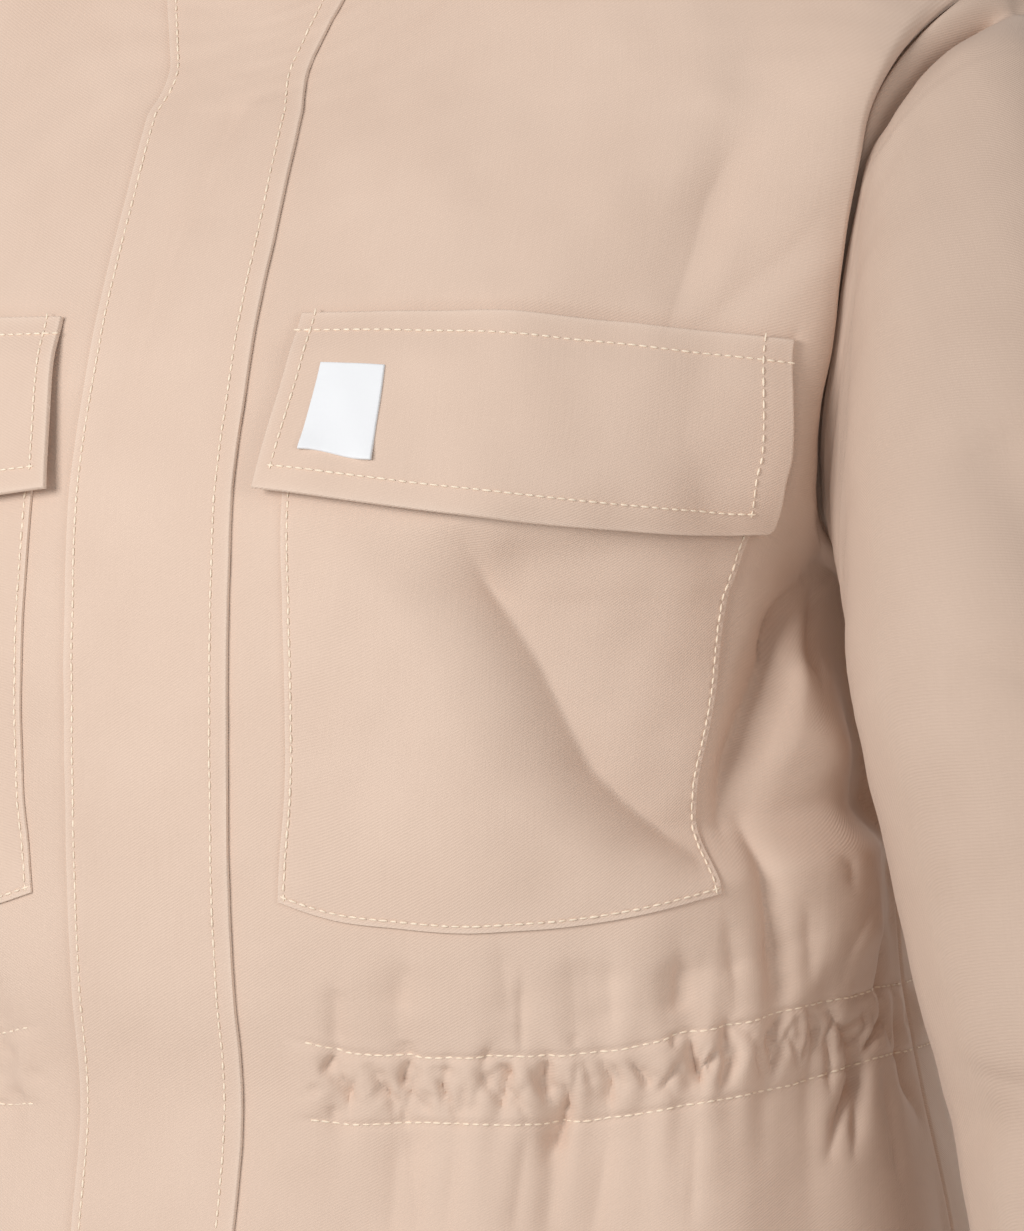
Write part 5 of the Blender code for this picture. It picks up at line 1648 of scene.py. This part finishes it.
def sleeve_point(share, along):
    """The sleeve's outside: along is 0 at the armhole, 1 where it is a plain tube, 2 at the cuff."""
    share = np.asarray(share, float)
    along = np.broadcast_to(np.asarray(along, float), share.shape)
    top = SLEEVE[0].z
    z = top + np.clip(along - 1.0, 0, 1) * (SLEEVE[-1].z - top)
    tube, axis = arm_point(share, z)
    seam, way = sleeve_start(share)
    near = (np.minimum(share, 1.0 - share) * 2.0)[..., None]
    seam = seam + way * GAP * (1.5 + 1.5 * (1 - ease(near / 0.3)))
    reach = np.linalg.norm(tube - seam, axis=-1, keepdims=True)
    push = (SLEEVE_PUSH_LOW + (SLEEVE_PUSH - SLEEVE_PUSH_LOW) * ease(near / 0.3)
            + 0.55 * reach * ease((near - 0.5) / 0.5))
    cap = hermite(seam, way * push, tube, -axis * reach * 0.9, np.clip(along, 0, 1)[..., None])
    here = np.where(along[..., None] < 1.0, cap, tube)
    inward = unit(arm_point(share + 0.5, z)[0] - tube)
    depth = fold_depth(SLEEVE_FOLDS, share, along) * ease(along / 0.15)
    return here + inward * depth[..., None]


print("the cuff's lower edge, z:", round(float(sleeve_point(np.array([0.25]), np.array([2.0]))[0, 2]), 3))

# %% [markdown]
# ## Cloth on the sleeves
# The tube gets its waves, its creases and the groove of its hem in the same way as the panels. The
# first crease is the soft fold of the cap beside the slot. The rows lie closest there.

# %% Sleeve cloth
SLEEVE_CREASES = (
    Crease(((0.08, 0.11), (0.20, 0.11), (0.42, 0.10)), 0.034, 0.0180),
    Crease(((0.22, 0.95), (0.30, 1.02), (0.40, 1.05)), 0.016, 0.0022),
    Crease(((0.14, 1.36), (0.22, 1.40), (0.33, 1.42)), 0.014, 0.0020),
    Crease(((0.60, 0.55), (0.68, 0.80), (0.70, 1.00)), 0.016, 0.0026),
    Crease(((0.78, 1.20), (0.72, 1.35), (0.74, 1.50)), 0.014, 0.0020),
    Crease(((0.10, 1.70), (0.22, 1.73), (0.30, 1.77)), 0.012, 0.0018),
    Crease(((0.52, 1.55), (0.62, 1.62), (0.70, 1.63)), 0.014, 0.0020),
)
CUFF_TURN = 0.022
SLEEVE_AROUND = 0.42  # cloth round the arm, near enough to space its points
CAP_LENGTH = 0.30  # the same down the cap, and down the tube
TUBE_LENGTH = 0.33
SLEEVE_WALL = 0.0016
CUFF_PULL = 0.0006  # depth of the groove along the cuff's row
CUFF_DIP = 0.0005  # and of its edge
LEFT_SLEEVE_SEED = 41
RIGHT_SLEEVE_SEED = 53


def to_cuff(along):
    """Cloth from a place on the tube down to the cuff's edge."""
    return (2.0 - along) * TUBE_LENGTH


def sleeve_detail(share, along, seed):
    """How far the sleeve's cloth stands out: waves, creases, and the cuff's hem."""
    x = share * SLEEVE_AROUND
    wrap = ease(np.minimum(share, 1 - share) / 0.05)
    y = along * CAP_LENGTH
    waves = (0.0008 * soft_waves(x, y, 0.08, seed) + 0.00025 * soft_waves(x, y, 0.024, seed + 1)) * wrap
    creases = crease_depth(SLEEVE_CREASES, share, along) * wrap
    off = to_cuff(along)
    cuff = groove(off, CUFF_TURN, CUFF_PULL) + CUFF_DIP * (1 - ease(off / ROW_REACH))
    return (waves - creases) * ease(along / 0.10) * ease(off / 0.02 + 0.2) - cuff


def sleeve_surface(side, share, along, seed, lift=0.0):
    """The outside of a sleeve with its waves and creases."""
    small = 0.004
    here = sleeve_point(share, along)
    around = sleeve_point((share + small) % 1.0, along) - sleeve_point((share - small) % 1.0, along)
    down = (sleeve_point(share, np.minimum(along + small, 2))
            - sleeve_point(share, np.maximum(along - small, 0)))
    out = unit(np.cross(around, down))
    sign = np.sign(np.sum(out * (here - here.mean(axis=1, keepdims=True))))
    off = (sleeve_detail(share, along, seed) + lift)[..., None]
    return mirrored(here + out * sign * off, side)


def build_sleeve(name, side, round_step, row_step, seed):
    shares = np.linspace(0.0, 1.0, int(SLEEVE_AROUND / round_step) + 1)
    shares[-1] = 0.0
    cap = np.concatenate([np.linspace(0.0, 0.3, int(0.09 / row_step))[:-1],
                          np.linspace(0.3, 1.0, int(0.11 / row_step))])
    tube = 1.0 + spaced(TUBE_LENGTH, row_step, (False, True))[1:]
    share, along = np.meshgrid(shares, np.concatenate([cap, tube]))
    outer = sleeve_surface(side, share, along, seed)
    inner = sleeve_surface(side, share, along, seed, lift=-SLEEVE_WALL)
    # The sleeve takes the darker twill, whose colour is painted shade.
    return shell(name, outer, inner, SLEEVE_CLOTH_PAINTED_SHADE, ring=True, wear=rubbed(to_cuff(along))), inner


sleeve_left, sleeve_left_cut = build_sleeve("sleeve_left_cloth", 1.0, 0.0021, 0.0022, LEFT_SLEEVE_SEED)
sleeve_right, sleeve_right_cut = build_sleeve("sleeve_right_cloth", -1.0, 0.0032, 0.0034, RIGHT_SLEEVE_SEED)

# %% [markdown]
# ## The hood
# The hood is raised, and cut in three: two sides and a strip over the crown. Half a ball would miss
# its seams, so each side is a patch stretched between four curves, its face edge, the crown seam,
# the back seam and the neckline, and it swells a little between them.

# %% Hood sizes
# The hood, raised: its face edge up from the chin, its crown seam back from the forehead, and the
# seam down the back, all at the edge of the centre strip
Place = namedtuple("Place", "x y z")
HOOD_FACE = (
    Place(0.0006, -0.062, -0.085),
    Place(0.0016, -0.078, -0.045),
    Place(0.04, -0.094, 0.01),
    Place(0.08, -0.102, 0.085),
    Place(0.088, -0.106, 0.165),
    Place(0.072, -0.11, 0.235),
    Place(0.0425, -0.112, 0.275),
)
HOOD_CROWN = (
    Place(0.0425, -0.112, 0.275),
    Place(0.043, -0.055, 0.308),
    Place(0.043, 0.01, 0.318),
    Place(0.043, 0.072, 0.296),
    Place(0.0425, 0.122, 0.24),
    Place(0.0425, 0.14, 0.17),
)
HOOD_BACK = (
    Place(0.0425, 0.05, -0.015),
    Place(0.0425, 0.078, 0.03),
    Place(0.0425, 0.112, 0.08),
    Place(0.0425, 0.135, 0.125),
    Place(0.0425, 0.14, 0.17),
)
HOOD_NECK_K = 0.58  # share of the hood's lower edge that lies on the front's neckline
HOOD_SWELL = 0.020
HOOD_ARCH = 0.008
HOOD_FOLDS = (
    Fold(0.15, 0.1, 0.55, 0.22, 0.08, 0.007),
    Fold(0.55, 0.12, 0.85, 0.34, 0.08, 0.006),
)
print("places along the hood's crown:", len(HOOD_CROWN))

# %% Hood form
def hood_neck(k):
    """The hood's lower edge along the neckline, from centre front to the centre strip's edge."""
    u_front = NECK_SHARE * k / HOOD_NECK_K
    u_back = NECK_SHARE - (NECK_SHARE - HOOD_STRIP_SHARE) * (k - HOOD_NECK_K) / (1 - HOOD_NECK_K)
    front = top_point("front", np.clip(u_front, 0, NECK_SHARE))
    back = top_point("back", np.clip(u_back, 0, NECK_SHARE))
    return np.where((k <= HOOD_NECK_K)[..., None], front, back) + np.array([0.0, 0.0, GAP])


def hood_line(table, t):
    knots = np.linspace(0.0, 1.0, len(table))
    return through(knots, [[row.x, row.y, row.z] for row in table], t)


def hood_point(k, q):
    """The hood's side: k runs from the face edge to the back, q from the neck to the crown."""
    k = np.asarray(k, float)
    q = np.broadcast_to(np.asarray(q, float), k.shape)
    face_edge = hood_line(HOOD_FACE, q)
    crown = hood_line(HOOD_CROWN, k)
    back_edge = hood_line(HOOD_BACK, q)
    neck = hood_neck(k)
    zero = np.zeros_like(k)
    # The four edges are summed, and the corners, which that counts twice, are taken off once.
    corners = ((1 - k) * (1 - q), k * (1 - q), (1 - k) * q, k * q)
    ends = (hood_neck(zero), hood_neck(zero + 1), hood_line(HOOD_CROWN, zero),
            hood_line(HOOD_CROWN, zero + 1))
    face_edge = face_edge + (ends[0] - hood_line(HOOD_FACE, zero)) * ((1 - q)[..., None])
    back_edge = back_edge + (ends[1] - hood_line(HOOD_BACK, zero)) * ((1 - q)[..., None])
    q3 = q[..., None]
    k3 = k[..., None]
    point = (1 - q3) * neck + q3 * crown + (1 - k3) * face_edge + k3 * back_edge
    for weight, end in zip(corners, ends):
        point = point - weight[..., None] * end
    point[..., 0] = np.maximum(point[..., 0], 0.0006)
    swell = HOOD_SWELL * 16 * k * (1 - k) * q * (1 - q)
    depth = fold_depth(HOOD_FOLDS, k, q) * ease(q / 0.1) * ease((1 - q) / 0.1) * ease((1 - k) / 0.1)
    return point + np.array([1.0, 0.0, 0.0]) * (swell - depth)[..., None]


def crown_edge(run):
    """The seam between side and centre strip: 0 at the forehead, 1 behind the head, 2 at the neck."""
    ones = np.ones_like(run)
    return np.where((run <= 1)[..., None], hood_point(np.clip(run, 0, 1), ones),
                    hood_point(ones, np.clip(2 - run, 0, 1)))


def crown_out(run):
    """The way out from the head, square to that seam."""
    way = crown_edge(np.clip(run + 0.03, 0, 2)) - crown_edge(np.clip(run - 0.03, 0, 2))
    return unit(np.stack([np.zeros_like(run), -way[..., 2], way[..., 1]], axis=-1))


def hood_centre_point(across, run):
    """The centre strip: run is 0 at the forehead, 1 at the back of the head, 2 at the neck."""
    across = np.asarray(across, float)
    run = np.broadcast_to(np.asarray(run, float), across.shape)
    edge = crown_edge(run)
    arch = HOOD_ARCH * (1 - across**2)
    width = edge[..., 0] - GAP
    point = np.stack([across * width, edge[..., 1], edge[..., 2]], axis=-1) + crown_out(run) * arch[..., None]
    neck = top_point("back", HOOD_STRIP_SHARE * np.abs(across))
    neck[..., 0] = across * width
    neck[..., 2] += GAP
    low = ease((run - 1.8) / 0.2)[..., None]
    return point * (1 - low) + neck * low


crown_z = hood_centre_point(np.zeros(50), np.linspace(0, 2, 50))[:, 2]
print("top of the hood, z:", round(float(crown_z.max()), 3))

# %% [markdown]
# ## Cloth on the hood
# The photograph shows no hood, so it stays plain: slow waves, a few soft creases, a seam on each
# side of the centre strip, and a hem round the face.

# %% Hood sides
HOOD_CREASES = (
    Crease(((0.30, 0.04), (0.36, 0.16), (0.46, 0.26)), 0.030, 0.0022),
    Crease(((0.62, 0.03), (0.66, 0.14), (0.76, 0.22)), 0.030, 0.0024),
    Crease(((0.12, 0.30), (0.30, 0.36), (0.48, 0.34)), 0.035, 0.0020),
    Crease(((0.55, 0.55), (0.70, 0.60), (0.88, 0.56)), 0.035, 0.0018),
)
HOOD_HEM = 0.024
HOOD_SPAN = (0.25, 0.33)  # a side's width and height, near enough to space its points
HOOD_DIP = 0.0009  # depth of the hood's seams
HOOD_PULL = 0.0006  # and of the groove along its hem's row
HOOD_WALL = 0.0013


def hood_side_surface(side, k, q, lift=0.0):
    """The outside of a hood side: k from the face edge to the back, q from neck to crown."""
    small = 0.004
    along = hood_point(np.minimum(k + small, 1), q) - hood_point(np.maximum(k - small, 0), q)
    up = hood_point(k, np.minimum(q + small, 1)) - hood_point(k, np.maximum(q - small, 0))
    out = unit(np.cross(along, up))
    out = np.where((q > 0.999)[..., None], crown_out(k), out)
    out = np.where((k > 0.999)[..., None], crown_out(2.0 - q), out)
    # Near the chin the two face edges meet, and their cloth goes forward, not into the other side.
    out[..., 0] = np.where(k < 0.001, out[..., 0] * ease((q - 0.20) / 0.15), out[..., 0])
    out = unit(out)
    x = k * HOOD_SPAN[0]
    y = q * HOOD_SPAN[1]
    seam = np.minimum(HOOD_SPAN[0] - x, np.minimum(y, HOOD_SPAN[1] - y))
    calm = ease(np.minimum(x, seam) / 0.02)
    detail = (0.0010 * soft_waves(x, y, 0.09, 61 + int(side)) - crease_depth(HOOD_CREASES, k, q)) * calm
    dip = HOOD_DIP * (1 - ease(seam / SEAM_REACH)) + groove(x, HOOD_HEM, HOOD_PULL)
    off_centre = np.array([GAP / 6, 0, 0])
    return mirrored(hood_point(k, q) + off_centre + out * (detail - dip + lift)[..., None], side)


def build_hood_side(name, side):
    k, q = np.meshgrid(spaced(HOOD_SPAN[0], 0.0030)[::-1], spaced(HOOD_SPAN[1], 0.0034))
    outer = hood_side_surface(side, k, q)
    inner = hood_side_surface(side, k, q, lift=-HOOD_WALL)
    return shell(name, outer, inner, TWILL_CLOTH, wear=rubbed(k * HOOD_SPAN[0])), inner


hood_left, hood_left_cut = build_hood_side("hood_left_cloth", 1.0)
hood_right, hood_right_cut = build_hood_side("hood_right_cloth", -1.0)

# %% Hood centre strip
STRIP_HALF = 0.042  # half its width, and its length over the crown
STRIP_LENGTH = 0.42


def hood_centre_surface(across, run, lift=0.0):
    """The outside of the hood's centre strip: run is 0 at the forehead and 2 at the neck."""
    small = 0.01
    side = hood_centre_point(across + small, run) - hood_centre_point(across - small, run)
    down = (hood_centre_point(across, np.minimum(run + small, 2))
            - hood_centre_point(across, np.maximum(run - small, 0)))
    out = unit(np.where((np.abs(across) > 0.999)[..., None], crown_out(run), np.cross(side, down)))
    x = (1 - np.abs(across)) * STRIP_HALF
    y = run * STRIP_LENGTH / 2
    to_neck = STRIP_LENGTH - y
    calm = ease(x / 0.012) * ease(np.minimum(y, to_neck) / 0.02)
    detail = 0.0008 * soft_waves(across * STRIP_HALF, y, 0.07, 71) * calm
    dip = HOOD_DIP * (1 - ease(np.minimum(x, to_neck) / SEAM_REACH)) + groove(y, HOOD_HEM, HOOD_PULL)
    return hood_centre_point(across, run) + out * (detail - dip + lift)[..., None]


def build_hood_centre():
    across, run = np.meshgrid(spaced(0.085, 0.0030) * 2 - 1, spaced(STRIP_LENGTH, 0.0030) * 2)
    outer = hood_centre_surface(across, run)
    inner = hood_centre_surface(across, run, lift=-HOOD_WALL)
    wear = rubbed(run * STRIP_LENGTH / 2)
    return shell("hood_centre_cloth", outer, inner, TWILL_CLOTH, wear=wear), inner


hood_centre, hood_centre_cut = build_hood_centre()

# %% [markdown]
# ## Topstitching
# Every visible row of stitches is the same thing: short lengths of thread, a few millimetres
# apart, along a line on the cloth. A bump could draw them, but thread stands up and throws a shadow.
# Geometry Nodes turn a line into evenly spaced points and put a slim spindle of thread on each,
# turned along the line. The line itself comes from the same surface functions as the cloth, so the
# thread lies in its groove.

# %% The tree of a stitched row
def stitch_tree():
    """Lines in, threads out: pitch, stitch length, thickness and unevenness are its inputs."""
    tree = bpy.data.node_groups.new("stitch_row", "GeometryNodeTree")
    tree.interface.new_socket("Lines", in_out="INPUT", socket_type="NodeSocketGeometry")
    group_inputs(tree, (("Pitch", 0.0035), ("Stitch Length", 0.0026), ("Thickness", 0.0007),
                        ("Unevenness", 0.15)))
    tree.interface.new_socket("Seed", in_out="INPUT", socket_type="NodeSocketInt")
    tree.interface.new_socket("Thread", in_out="INPUT", socket_type="NodeSocketMaterial")
    tree.interface.new_socket("Stitches", in_out="OUTPUT", socket_type="NodeSocketGeometry")
    link = tree.links.new
    given = put(tree, "NodeGroupInput")
    gives = put(tree, "NodeGroupOutput")
    curves = put(tree, "GeometryNodeMeshToCurve")
    link(given.outputs["Lines"], curves.inputs["Mesh"])
    points = put(tree, "GeometryNodeCurveToPoints", mode="LENGTH")
    link(curves.outputs["Curve"], points.inputs["Curve"])
    link(given.outputs["Pitch"], points.inputs["Length"])
    spindle = put(tree, "GeometryNodeMeshUVSphere")
    spindle.inputs["Segments"].default_value = 6
    spindle.inputs["Rings"].default_value = 5
    spindle.inputs["Radius"].default_value = 0.5
    turned = put(tree, "FunctionNodeAlignRotationToVector", axis="Z")
    link(points.outputs["Tangent"], turned.inputs["Vector"])
    vary = put(tree, "FunctionNodeRandomValue", data_type="FLOAT_VECTOR")
    spread = maths(tree, "SUBTRACT", 1.0, given.outputs["Unevenness"])
    wide = maths(tree, "ADD", 1.0, given.outputs["Unevenness"])
    link(spread, vary.inputs["Min"])
    link(wide, vary.inputs["Max"])
    link(given.outputs["Seed"], vary.inputs["Seed"])
    size = put(tree, "ShaderNodeCombineXYZ")
    link(given.outputs["Thickness"], size.inputs["X"])
    link(given.outputs["Thickness"], size.inputs["Y"])
    link(given.outputs["Stitch Length"], size.inputs["Z"])
    scaled = put(tree, "ShaderNodeVectorMath", operation="MULTIPLY")
    link(size.outputs["Vector"], scaled.inputs[0])
    link(vary.outputs["Value"], scaled.inputs[1])
    placed = put(tree, "GeometryNodeInstanceOnPoints")
    link(points.outputs["Points"], placed.inputs["Points"])
    link(spindle.outputs["Mesh"], placed.inputs["Instance"])
    link(turned.outputs["Rotation"], placed.inputs["Rotation"])
    link(scaled.outputs["Vector"], placed.inputs["Scale"])
    real = put(tree, "GeometryNodeRealizeInstances")
    link(placed.outputs["Instances"], real.inputs["Geometry"])
    coat = put(tree, "GeometryNodeSetMaterial")
    link(real.outputs["Geometry"], coat.inputs["Geometry"])
    link(given.outputs["Thread"], coat.inputs["Material"])
    link(coat.outputs["Geometry"], gives.inputs["Stitches"])
    return tree


STITCH_TREE = stitch_tree()
SOCKETS = {item.name: item.identifier for item in STITCH_TREE.interface.items_tree
           if item.in_out == "INPUT"}
print("inputs of the tree:", list(SOCKETS))


# %% Thread along lines
def stitches(name, lines, seed, pitch=0.0035, length=0.0028, thickness=0.0008):
    """Thread along lines, each an array of points, as one plain mesh."""
    verts = []
    edges = []
    for line in lines:
        first = len(verts)
        verts += np.asarray(line).tolist()
        edges += [(k, k + 1) for k in range(first, len(verts) - 1)]
    mesh = bpy.data.meshes.new(name + "_lines")
    mesh.from_pydata(verts, edges, [])
    made = link_up(name + "_lines", mesh)
    row = made.modifiers.new("stitch_row", "NODES")
    row.node_group = STITCH_TREE
    for socket, value in (("Pitch", pitch), ("Stitch Length", length), ("Thickness", thickness),
                          ("Seed", seed), ("Thread", THREAD)):
        row[SOCKETS[socket]] = value
    depsgraph = bpy.context.evaluated_depsgraph_get()
    sewn = bpy.data.meshes.new_from_object(made.evaluated_get(depsgraph))
    sewn.name = name
    sewn.shade_smooth()
    made.modifiers.remove(row)
    bpy.data.objects.remove(made, do_unlink=True)
    print(name, "triangles:", sum(len(face.vertices) - 2 for face in sewn.polygons))
    return link_up(name, sewn)


# %% [markdown]
# ## Rows on the front's pieces
# Each row lies a stitch's distance in from an edge, so its line is the piece's own surface at that
# distance. On the flap the two side rows run on to the top edge, past the row across it.

# %% Rows on the placket, pockets and flaps
STITCH_UP = 0.00020  # how far the thread's middle is above the groove's floor
POCKET_ROW_SPAN = (0.158, 0.184)  # width and height of the pocket where its rows run
FLAP_ROW_SPAN = (0.170, 0.068)


def placket_rows():
    vs = np.linspace(0.004, PLACKET_TOP_V - 0.01, 700)
    lines = []
    for sign, stitch in ((1.0, PLACKET_FREE_STITCH), (-1.0, PLACKET_SEWN_STITCH)):
        half, row = placket_half(np.full_like(vs, sign), vs)
        reach = half * row_length("front", row)
        lines.append(placket_surface(sign * (1 - stitch / reach), vs, STITCH_UP))
    return lines


def pocket_rows(side):
    ts = np.linspace(PATCH_STITCH / POCKET_SPAN[1], 0.98, 220)
    ss = np.linspace(PATCH_STITCH / POCKET_SPAN[0], 1 - PATCH_STITCH / POCKET_SPAN[0], 220)
    beside = PATCH_STITCH / POCKET_ROW_SPAN[0]
    low = np.full_like(ss, PATCH_STITCH / POCKET_ROW_SPAN[1])
    return [pocket_surface(side, np.full_like(ts, beside), ts, STITCH_UP),
            pocket_surface(side, np.full_like(ts, 1 - beside), ts, STITCH_UP),
            pocket_surface(side, ss, low, STITCH_UP)]


def flap_rows(side):
    left = FLAP_INNER_STITCH / FLAP_ROW_SPAN[0]
    right = 1 - FLAP_OUTER_STITCH / FLAP_ROW_SPAN[0]
    low = FLAP_LOW_STITCH / FLAP_ROW_SPAN[1]
    top = 1 - FLAP_TOP_STITCH / FLAP_ROW_SPAN[1]
    ts = np.linspace(low, 0.995, 120)
    ss = np.linspace(left, right, 240)
    across = np.linspace(0.004, 0.996, 240)
    return [flap_surface(side, np.full_like(ts, left), ts, STITCH_UP),
            flap_surface(side, np.full_like(ts, right), ts, STITCH_UP),
            flap_surface(side, ss, np.full_like(ss, low), STITCH_UP),
            flap_surface(side, across, np.full_like(across, top), STITCH_UP)]


placket_stitches = stitches("placket_stitches", placket_rows(), 1)
pocket_left_stitches = stitches("pocket_left_stitches", pocket_rows(1.0), 2)
pocket_right_stitches = stitches("pocket_right_stitches", pocket_rows(-1.0), 3)
flap_left_stitches = stitches("flap_left_stitches", flap_rows(1.0), 4)
flap_right_stitches = stitches("flap_right_stitches", flap_rows(-1.0), 5)


# %% [markdown]
# ## Rows on the body
# The channel's two rows rise and fall with the gathers, as the tables of the channel say. A row's
# height sets how long its cloth is, and that length sets its height, so three rounds settle both.

# %% Rows along the waist channel and the hem
def channel_lines(face, side, creases, seed, start):
    lines = []
    for which in (0, 1):
        us = np.linspace(start, 0.985, 500)
        v = row_z_to_v(np.full_like(us, CHANNEL_Z))
        for _ in range(3):
            v = row_z_to_v(channel_rows(face, us * row_length(face, row_z(v)))[which])
        lines.append(mirrored(panel_surface(face, us, v, creases, seed, STITCH_UP), side))
    return lines


def hem_line(face, side, creases, seed, start):
    us = np.linspace(start, 0.995, 300)
    v = row_z_to_v(np.full_like(us, HEM_Z + HEM_TURN))
    return [mirrored(panel_surface(face, us, v, creases, seed, STITCH_UP), side)]


def body_rows(face, side, creases, seed, channel_start, hem_start):
    return (channel_lines(face, side, creases, seed, channel_start)
            + hem_line(face, side, creases, seed, hem_start))


LEFT_ROWS = body_rows("front", 1.0, LEFT_CREASES, LEFT_SEED, 0.185, 0.10)
RIGHT_ROWS = body_rows("front", -1.0, RIGHT_CREASES, RIGHT_SEED, 0.185, 0.10)
BACK_ROWS = (body_rows("back", 1.0, BACK_CREASES, BACK_SEED, 0.002, 0.002)
             + body_rows("back", -1.0, BACK_RIGHT_CREASES, BACK_SEED, 0.002, 0.002))
front_left_stitches = stitches("front_left_stitches", LEFT_ROWS, 6)
front_right_stitches = stitches("front_right_stitches", RIGHT_ROWS, 7)
back_stitches = stitches("back_stitches", BACK_ROWS, 8)

# %% [markdown]
# ## Rows on the cuffs and the hood
# Cuffs and face edge have a hem with one row. The hood's two seams have a row on each side piece,
# 4 mm from the seam, which a maker sews to keep the seam flat.

# %% Rows on the cuffs and the hood
SEAM_ROW = 0.004


def cuff_line(side, seed):
    shares = np.linspace(0.0, 1.0, 240)
    shares[-1] = 0.0
    along = np.full_like(shares, 2.0 - CUFF_TURN / TUBE_LENGTH)
    # The surface works on a grid, so it gets a second row, which isn't used.
    grid = np.stack([shares, shares]), np.stack([along, along - 0.01])
    return [sleeve_surface(side, *grid, seed, STITCH_UP)[0]]


def hood_lines(side):
    run = np.linspace(0.02, 0.98, 200)
    wide, tall = HOOD_SPAN
    places = ((HOOD_HEM / wide, run), (run, 1 - SEAM_ROW / tall), (1 - SEAM_ROW / wide, run))
    return [hood_side_surface(side, run * 0 + k, run * 0 + q, STITCH_UP) for k, q in places]


def hood_centre_line():
    across = np.linspace(-0.97, 0.97, 60)
    return [hood_centre_surface(across, np.full_like(across, 2 * HOOD_HEM / STRIP_LENGTH), STITCH_UP)]


sleeve_left_stitches = stitches("sleeve_left_stitches", cuff_line(1.0, LEFT_SLEEVE_SEED), 9)
sleeve_right_stitches = stitches("sleeve_right_stitches", cuff_line(-1.0, RIGHT_SLEEVE_SEED), 10)
hood_left_stitches = stitches("hood_left_stitches", hood_lines(1.0), 11)
hood_right_stitches = stitches("hood_right_stitches", hood_lines(-1.0), 12)
hood_centre_stitches = stitches("hood_centre_stitches", hood_centre_line(), 13)

# %% [markdown]
# ## In place of the solids
# Each piece takes the place of its solid and rides on the coat's one body, and so does its sewing.

# %% Put every piece in place of its solid
CLOTHS = (
    (front_left, "front_left", front_left_cut, [], front_left_stitches),
    (front_right, "front_right", front_right_cut, [], front_right_stitches),
    (back, "back", back_cut, [], back_stitches),
    (placket, "placket", placket_cut, [front_left], placket_stitches),
    (pocket_left, "pocket_left", pocket_left_cut, [front_left], pocket_left_stitches),
    (pocket_right, "pocket_right", pocket_right_cut, [front_right], pocket_right_stitches),
    (flap_left, "flap_left", flap_left_cut, [pocket_left], flap_left_stitches),
    (flap_right, "flap_right", flap_right_cut, [pocket_right], flap_right_stitches),
    (label, "label", label_cut, [flap_left], None),
    (sleeve_left, "sleeve_left", sleeve_left_cut, [front_left], sleeve_left_stitches),
    (sleeve_right, "sleeve_right", sleeve_right_cut, [front_right], sleeve_right_stitches),
    (hood_left, "hood_left", hood_left_cut, [front_left], hood_left_stitches),
    (hood_right, "hood_right", hood_right_cut, [front_right], hood_right_stitches),
    (hood_centre, "hood_centre", hood_centre_cut, [back], hood_centre_stitches),
)


def declare(piece, node, cut, under, sewing):
    """Hands over a piece and its sewing: the node that it replaces, its cut, and what it lies on, which is
    not used.
    """
    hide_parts(node)
    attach(piece, "root")
    uv = metric_uv(cut)
    with_it = [] if sewing is None else [sewing]
    for thread in with_it:
        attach(thread, "root")


for cloth in CLOTHS:
    declare(*cloth)
